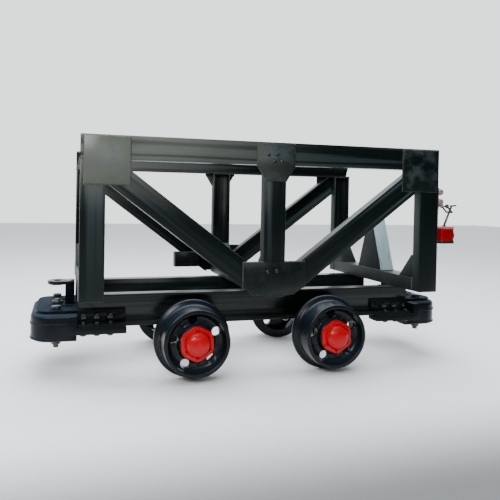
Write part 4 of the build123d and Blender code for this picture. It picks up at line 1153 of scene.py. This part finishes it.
class CART_OT_lamp(bpy.types.Operator):
    """Model the tail lamp, its hanging bar, its bracket, the knobs and the safety chain"""
    bl_idname = "cart.lamp"
    bl_label = "Tail lamp"

    def housing(self):
        """The ribbed shell, its lid and its foot."""
        low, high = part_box("lamp_body")
        shell = soften(box_piece(low, high), 0.007, 4)
        lid = box_piece((low.x + LID_INSET, low.y - LID_PROUD, high.z - 0.009),
                        (high.x + LID_PROUD, high.y + LID_PROUD, high.z + 0.005))
        foot = box_piece((low.x - FOOT_PROUD, low.y - FOOT_PROUD, low.z - 0.003),
                         (high.x + FOOT_PROUD, high.y + FOOT_PROUD, low.z + 0.011))
        ribs = []
        for step in range(3):
            z = low.z + 0.020 + step * RIB_PITCH
            rib = box_piece((low.x + 0.010, low.y - RIB_PROUD, z),
                            (high.x - 0.010, high.y + RIB_PROUD, z + RIB_WIDTH))
            ribs.append(soften(rib, 0.0014, 2))
        shell = smooth(join([shell, *ribs]), 35)
        return shell, smooth(soften(lid, 0.006, 4), 35), smooth(soften(foot, 0.004, 3), 35)

    def bezel(self):
        """The ring round the lens."""
        centre = middle("lamp_lens")
        activate()
        bpy.ops.mesh.primitive_torus_add(
            location=(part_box("lamp_body")[1].x + 0.0005, centre.y, centre.z),
            rotation=(0, math.pi / 2, 0), major_segments=48, minor_segments=12,
            major_radius=BEZEL_RADIUS, minor_radius=BEZEL_ROUND)
        return smooth(settle(bpy.context.object), 60)

    def hanger(self):
        """The bail with the straight bar and the cross handle in front of it."""
        bail = soften(copy_of("lamp_bail"), 0.0007, 2, 40)
        low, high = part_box("lamp_bail")
        knee = Vector((high.x - 0.0045, (low.y + high.y) / 2, KNEE_Z))
        foot_of_bar = Vector((middle("lamp_body").x, knee.y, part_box("lamp_body")[1].z + 0.006))
        top = knee + (knee - foot_of_bar) * 0.44
        bar = soften(rod_piece(foot_of_bar, top, BAR_RADIUS, 20), 0.0012, 2)
        handle = rod_piece(top - Vector((0.007, 0, 0)), top + Vector((0.027, 0, 0.002)), HANDLE_RADIUS, 20)
        return smooth(join([bail, bar, soften(handle, 0.0012, 2)]), 40)

    def execute(self, context):
        red = finish("lamp_red", enamel, tone=list(colours().lamp_red))
        metal = finish("lamp_zinc", worn_steel, tone=list(colours().zinc), rust_share=0.35, rough=0.40)
        dark = finish("lamp_dark", bolt_paint)
        shell, lid, foot = self.housing()
        # The lid's pale pink is a painted highlight on the lamp's top.
        hand_over(lid, "lamp_lid", "lamp", "lamp_paint",
                  finish("lamp_faded", enamel, tone=list(colours().lid_highlight_red)))
        hand_over(shell, "lamp_housing", "lamp", "lamp_paint", red, "lamp_body")
        hand_over(foot, "lamp_foot", "lamp", "lamp_fittings", dark)
        lens = smooth(soften(copy_of("lamp_lens"), 0.0015, 3, 20), 45)
        hand_over(lens, "lamp_lens_glass", "lamp", "lamp_glass", finish("lamp_glass", lamp_glass),
                  "lamp_lens")
        hand_over(self.bezel(), "lamp_bezel", "lamp", "lamp_fittings", dark)
        hand_over(self.hanger(), "lamp_hanger", "lamp", "lamp_fittings", dark, "lamp_bail")
        bracket = smooth(soften(copy_of("lamp_bracket"), 0.0012, 2, 40), 40)
        hand_over(bracket, "lamp_bracket_plate", FRAME_BODY, "lamp_fittings", metal, "lamp_bracket")
        self.knobs(metal)
        self.chain(metal)
        return {"FINISHED"}

    def knobs(self, metal):
        """Fluted clamping knobs with a nut behind and the screw's tip in front."""
        pieces = []
        x = TRUSS_END + BRACKET_PLATE
        y = middle("lamp_knobs").y
        for z in KNOB_HEIGHTS:
            core = rod_piece((x + 0.010, y, z), (x + 0.033, y, z), KNOB_RADIUS, 32)
            nut = rod_piece((x, y, z), (x + 0.010, y, z), 0.0135, 6)
            tip = rod_piece((x + 0.031, y, z), (x + 0.037, y, z), 0.0055, 20)
            pieces += [soften(core, 0.003, 3), soften(nut, 0.0012, 2), soften(tip, 0.001, 2)]
            for i in range(KNOB_FLUTES):
                angle = i * 2 * math.pi / KNOB_FLUTES
                dy, dz = FLUTE_CIRCLE * math.cos(angle), FLUTE_CIRCLE * math.sin(angle)
                flute = rod_piece((x + 0.012, y + dy, z + dz), (x + 0.030, y + dy, z + dz),
                                  FLUTE_RADIUS, 12)
                pieces.append(soften(flute, 0.0010, 2))
        hand_over(smooth(join(pieces), 40), "lamp_clamp_knobs", FRAME_BODY, "lamp_fittings", metal,
                  "lamp_knobs")

    def chain(self, metal):
        """Short safety chain that hangs from the bracket beside the lamp."""
        activate()
        bpy.ops.mesh.primitive_torus_add(
            major_segments=20, minor_segments=8, major_radius=LINK_RADIUS, minor_radius=WIRE_RADIUS,
            rotation=(math.pi / 2, 0, 0))
        link = settle(bpy.context.object)
        link.data.transform(Matrix.Diagonal((0.75, 1, 1.25, 1)))
        smooth(link, 180)
        top = Vector((TRUSS_END + 0.012, middle("lamp_knobs").y - 0.006, CHAIN_TOP_Z))
        links = []
        for i in range(CHAIN_LINKS):
            turn = Matrix.Rotation(math.pi / 2 * (i % 2), 4, "Z")
            drop = Vector((0.0012 * math.sin(i), 0, -CHAIN_PITCH * i))
            links.append(stamp(link, Matrix.Translation(top + drop) @ turn))
        discard(link)
        hand_over(join(links), "lamp_chain", FRAME_BODY, "lamp_fittings", metal)


# ---- stage ---------------------------------------------------------------------------------------
CAMERA_PLACE = Vector((-0.882, -2.563, 0.789))
CAMERA_YAW = math.radians(14.63)        # turned from the cart's width towards its right end
CAMERA_DIP = math.radians(0.81)
CAMERA_TILT = math.radians(0.96)
CAMERA_LENS = 37.73
CAMERA_SHIFT = (0.0938, -0.0827)
SENSOR = 36
FLOOR_SIZE = 30
PALE = (0.88, 0.88, 0.88, 1)
DIM = (0.09, 0.09, 0.09, 1)
DIM_FROM = -0.72            # the floor turns dim between these two places in front of the cart
DIM_TO = -1.35
AIR = (0.95, 0.975, 1.0, 1)
SKY_TINT = (0.82, 0.92, 1)
SOFTBOXES = (               # name, place, target, power, width, height, tint
    ("key_softbox", (-2.6, -4.2, 3.2), (-0.4, 0, 0.6), 230, 2.4, 1.8, (1, 1, 1)),
    ("window_softbox", (-0.1, -4.3, 1.75), (-0.1, 0, 1.1), 24, 2.2, 1.3, (1, 1, 1)),
    ("overhead_softbox", (-0.3, 0.6, 4.2), (0, 0.2, 0.3), 360, 6.0, 5.0, SKY_TINT),
)


class CART_OT_stage(bpy.types.Operator):
    """Set the pale floor, the soft lights and the camera"""
    bl_idname = "cart.stage"
    bl_label = "Stage, lights and camera"

    def light(self, name, place, target, power, width, height, tint):
        """A rectangular soft light that faces its target."""
        data = bpy.data.lights.new(name, "AREA")
        data.shape = "RECTANGLE"
        data.size = width
        data.size_y = height
        data.energy = power
        data.color = tint
        lamp = bpy.data.objects.new(name, data)
        bpy.context.scene.collection.objects.link(lamp)
        lamp.location = place
        lamp.rotation_euler = (Vector(target) - Vector(place)).to_track_quat("-Z", "Y").to_euler()

    def air(self):
        """Bright air behind the cart and overhead, dim in front of it."""
        world = bpy.data.worlds.new("studio_air")
        world.use_nodes = True
        tree = world.node_tree
        place = tree.nodes.new("ShaderNodeTexCoord")
        parts = tree.nodes.new("ShaderNodeSeparateXYZ")
        tree.links.new(place.outputs["Generated"], parts.inputs[0])
        behind = Value(tree, parts.outputs["Y"]).above(-0.15, 0.45)
        above = Value(tree, parts.outputs["Z"]).above(0.35, 0.95)
        background = tree.nodes["Background"]
        background.inputs["Color"].default_value = AIR
        feed(tree, background.inputs["Strength"], 0.05 + behind * 1.9 + above * 0.5)
        bpy.context.scene.world = world

    def execute(self, context):
        activate()
        bpy.ops.mesh.primitive_plane_add(size=FLOOR_SIZE, location=(0, 0, 0))
        floor = settle(bpy.context.object)
        floor.name = "studio_floor"
        pale = Finish("studio_pale")
        near = pale.axis("Y").above(DIM_FROM, DIM_TO)
        shade = near * 0.92 + pale.noise(1.5, 2.0) * 0.03
        pale.set(Base_Color=pale.mix(shade, PALE, DIM), Roughness=0.9)
        floor.data.materials.append(pale.material)
        self.air()
        for softbox in SOFTBOXES:
            self.light(*softbox)
        self.camera()
        return {"FINISHED"}

    def camera(self):
        """Look at the cart's long side from a little left of its middle, slightly tilted."""
        forward = Vector((math.sin(CAMERA_YAW) * math.cos(CAMERA_DIP),
                          math.cos(CAMERA_YAW) * math.cos(CAMERA_DIP), -math.sin(CAMERA_DIP)))
        level = Vector((math.cos(CAMERA_YAW), -math.sin(CAMERA_YAW), 0))
        upright = level.cross(forward)
        right = level * math.cos(CAMERA_TILT) + upright * math.sin(CAMERA_TILT)
        up = upright * math.cos(CAMERA_TILT) - level * math.sin(CAMERA_TILT)
        data = bpy.data.cameras.new("cart_camera")
        data.sensor_width = SENSOR
        data.lens = CAMERA_LENS
        data.shift_x, data.shift_y = CAMERA_SHIFT
        camera = bpy.data.objects.new("cart_camera", data)
        bpy.context.scene.collection.objects.link(camera)
        turn = Matrix((right, up, -forward)).transposed()
        camera.matrix_world = Matrix.Translation(CAMERA_PLACE) @ turn.to_4x4()
        bpy.context.scene.camera = camera


# ---- add-on --------------------------------------------------------------------------------------
OPERATORS = (CART_OT_rolled_members, CART_OT_plate_work, CART_OT_rivets, CART_OT_welds,
             CART_OT_wheels, CART_OT_hub_caps, CART_OT_axles, CART_OT_buffers, CART_OT_bolts,
             CART_OT_couplings, CART_OT_lamp, CART_OT_stage)


class CART_PT_panel(bpy.types.Panel):
    """Sidebar panel with the cart's sizes, colours and building steps"""
    bl_idname = "CART_PT_panel"
    bl_label = "Mine supply cart"
    bl_space_type = "VIEW_3D"
    bl_region_type = "UI"
    bl_category = "Mine cart"

    def draw(self, context):
        for group in (context.scene.cart_sizes, context.scene.cart_colours):
            for name in group.__annotations__:
                self.layout.prop(group, name)
        for operator in OPERATORS:
            self.layout.operator(operator.bl_idname)


CLASSES = (CartSizes, CartColours, *OPERATORS, CART_PT_panel)


def register():
    for item in CLASSES:
        bpy.utils.register_class(item)
    bpy.types.Scene.cart_sizes = bpy.props.PointerProperty(type=CartSizes)
    bpy.types.Scene.cart_colours = bpy.props.PointerProperty(type=CartColours)


def unregister():
    del bpy.types.Scene.cart_sizes
    del bpy.types.Scene.cart_colours
    for item in reversed(CLASSES):
        bpy.utils.unregister_class(item)


def corners(bounds):
    return [[float(x) for x in corner] for corner in bounds]


def main():
    register()
    for operator in OPERATORS:
        getattr(bpy.ops.cart, operator.bl_idname.split(".")[1])()


if __name__ == "__main__":
    main()
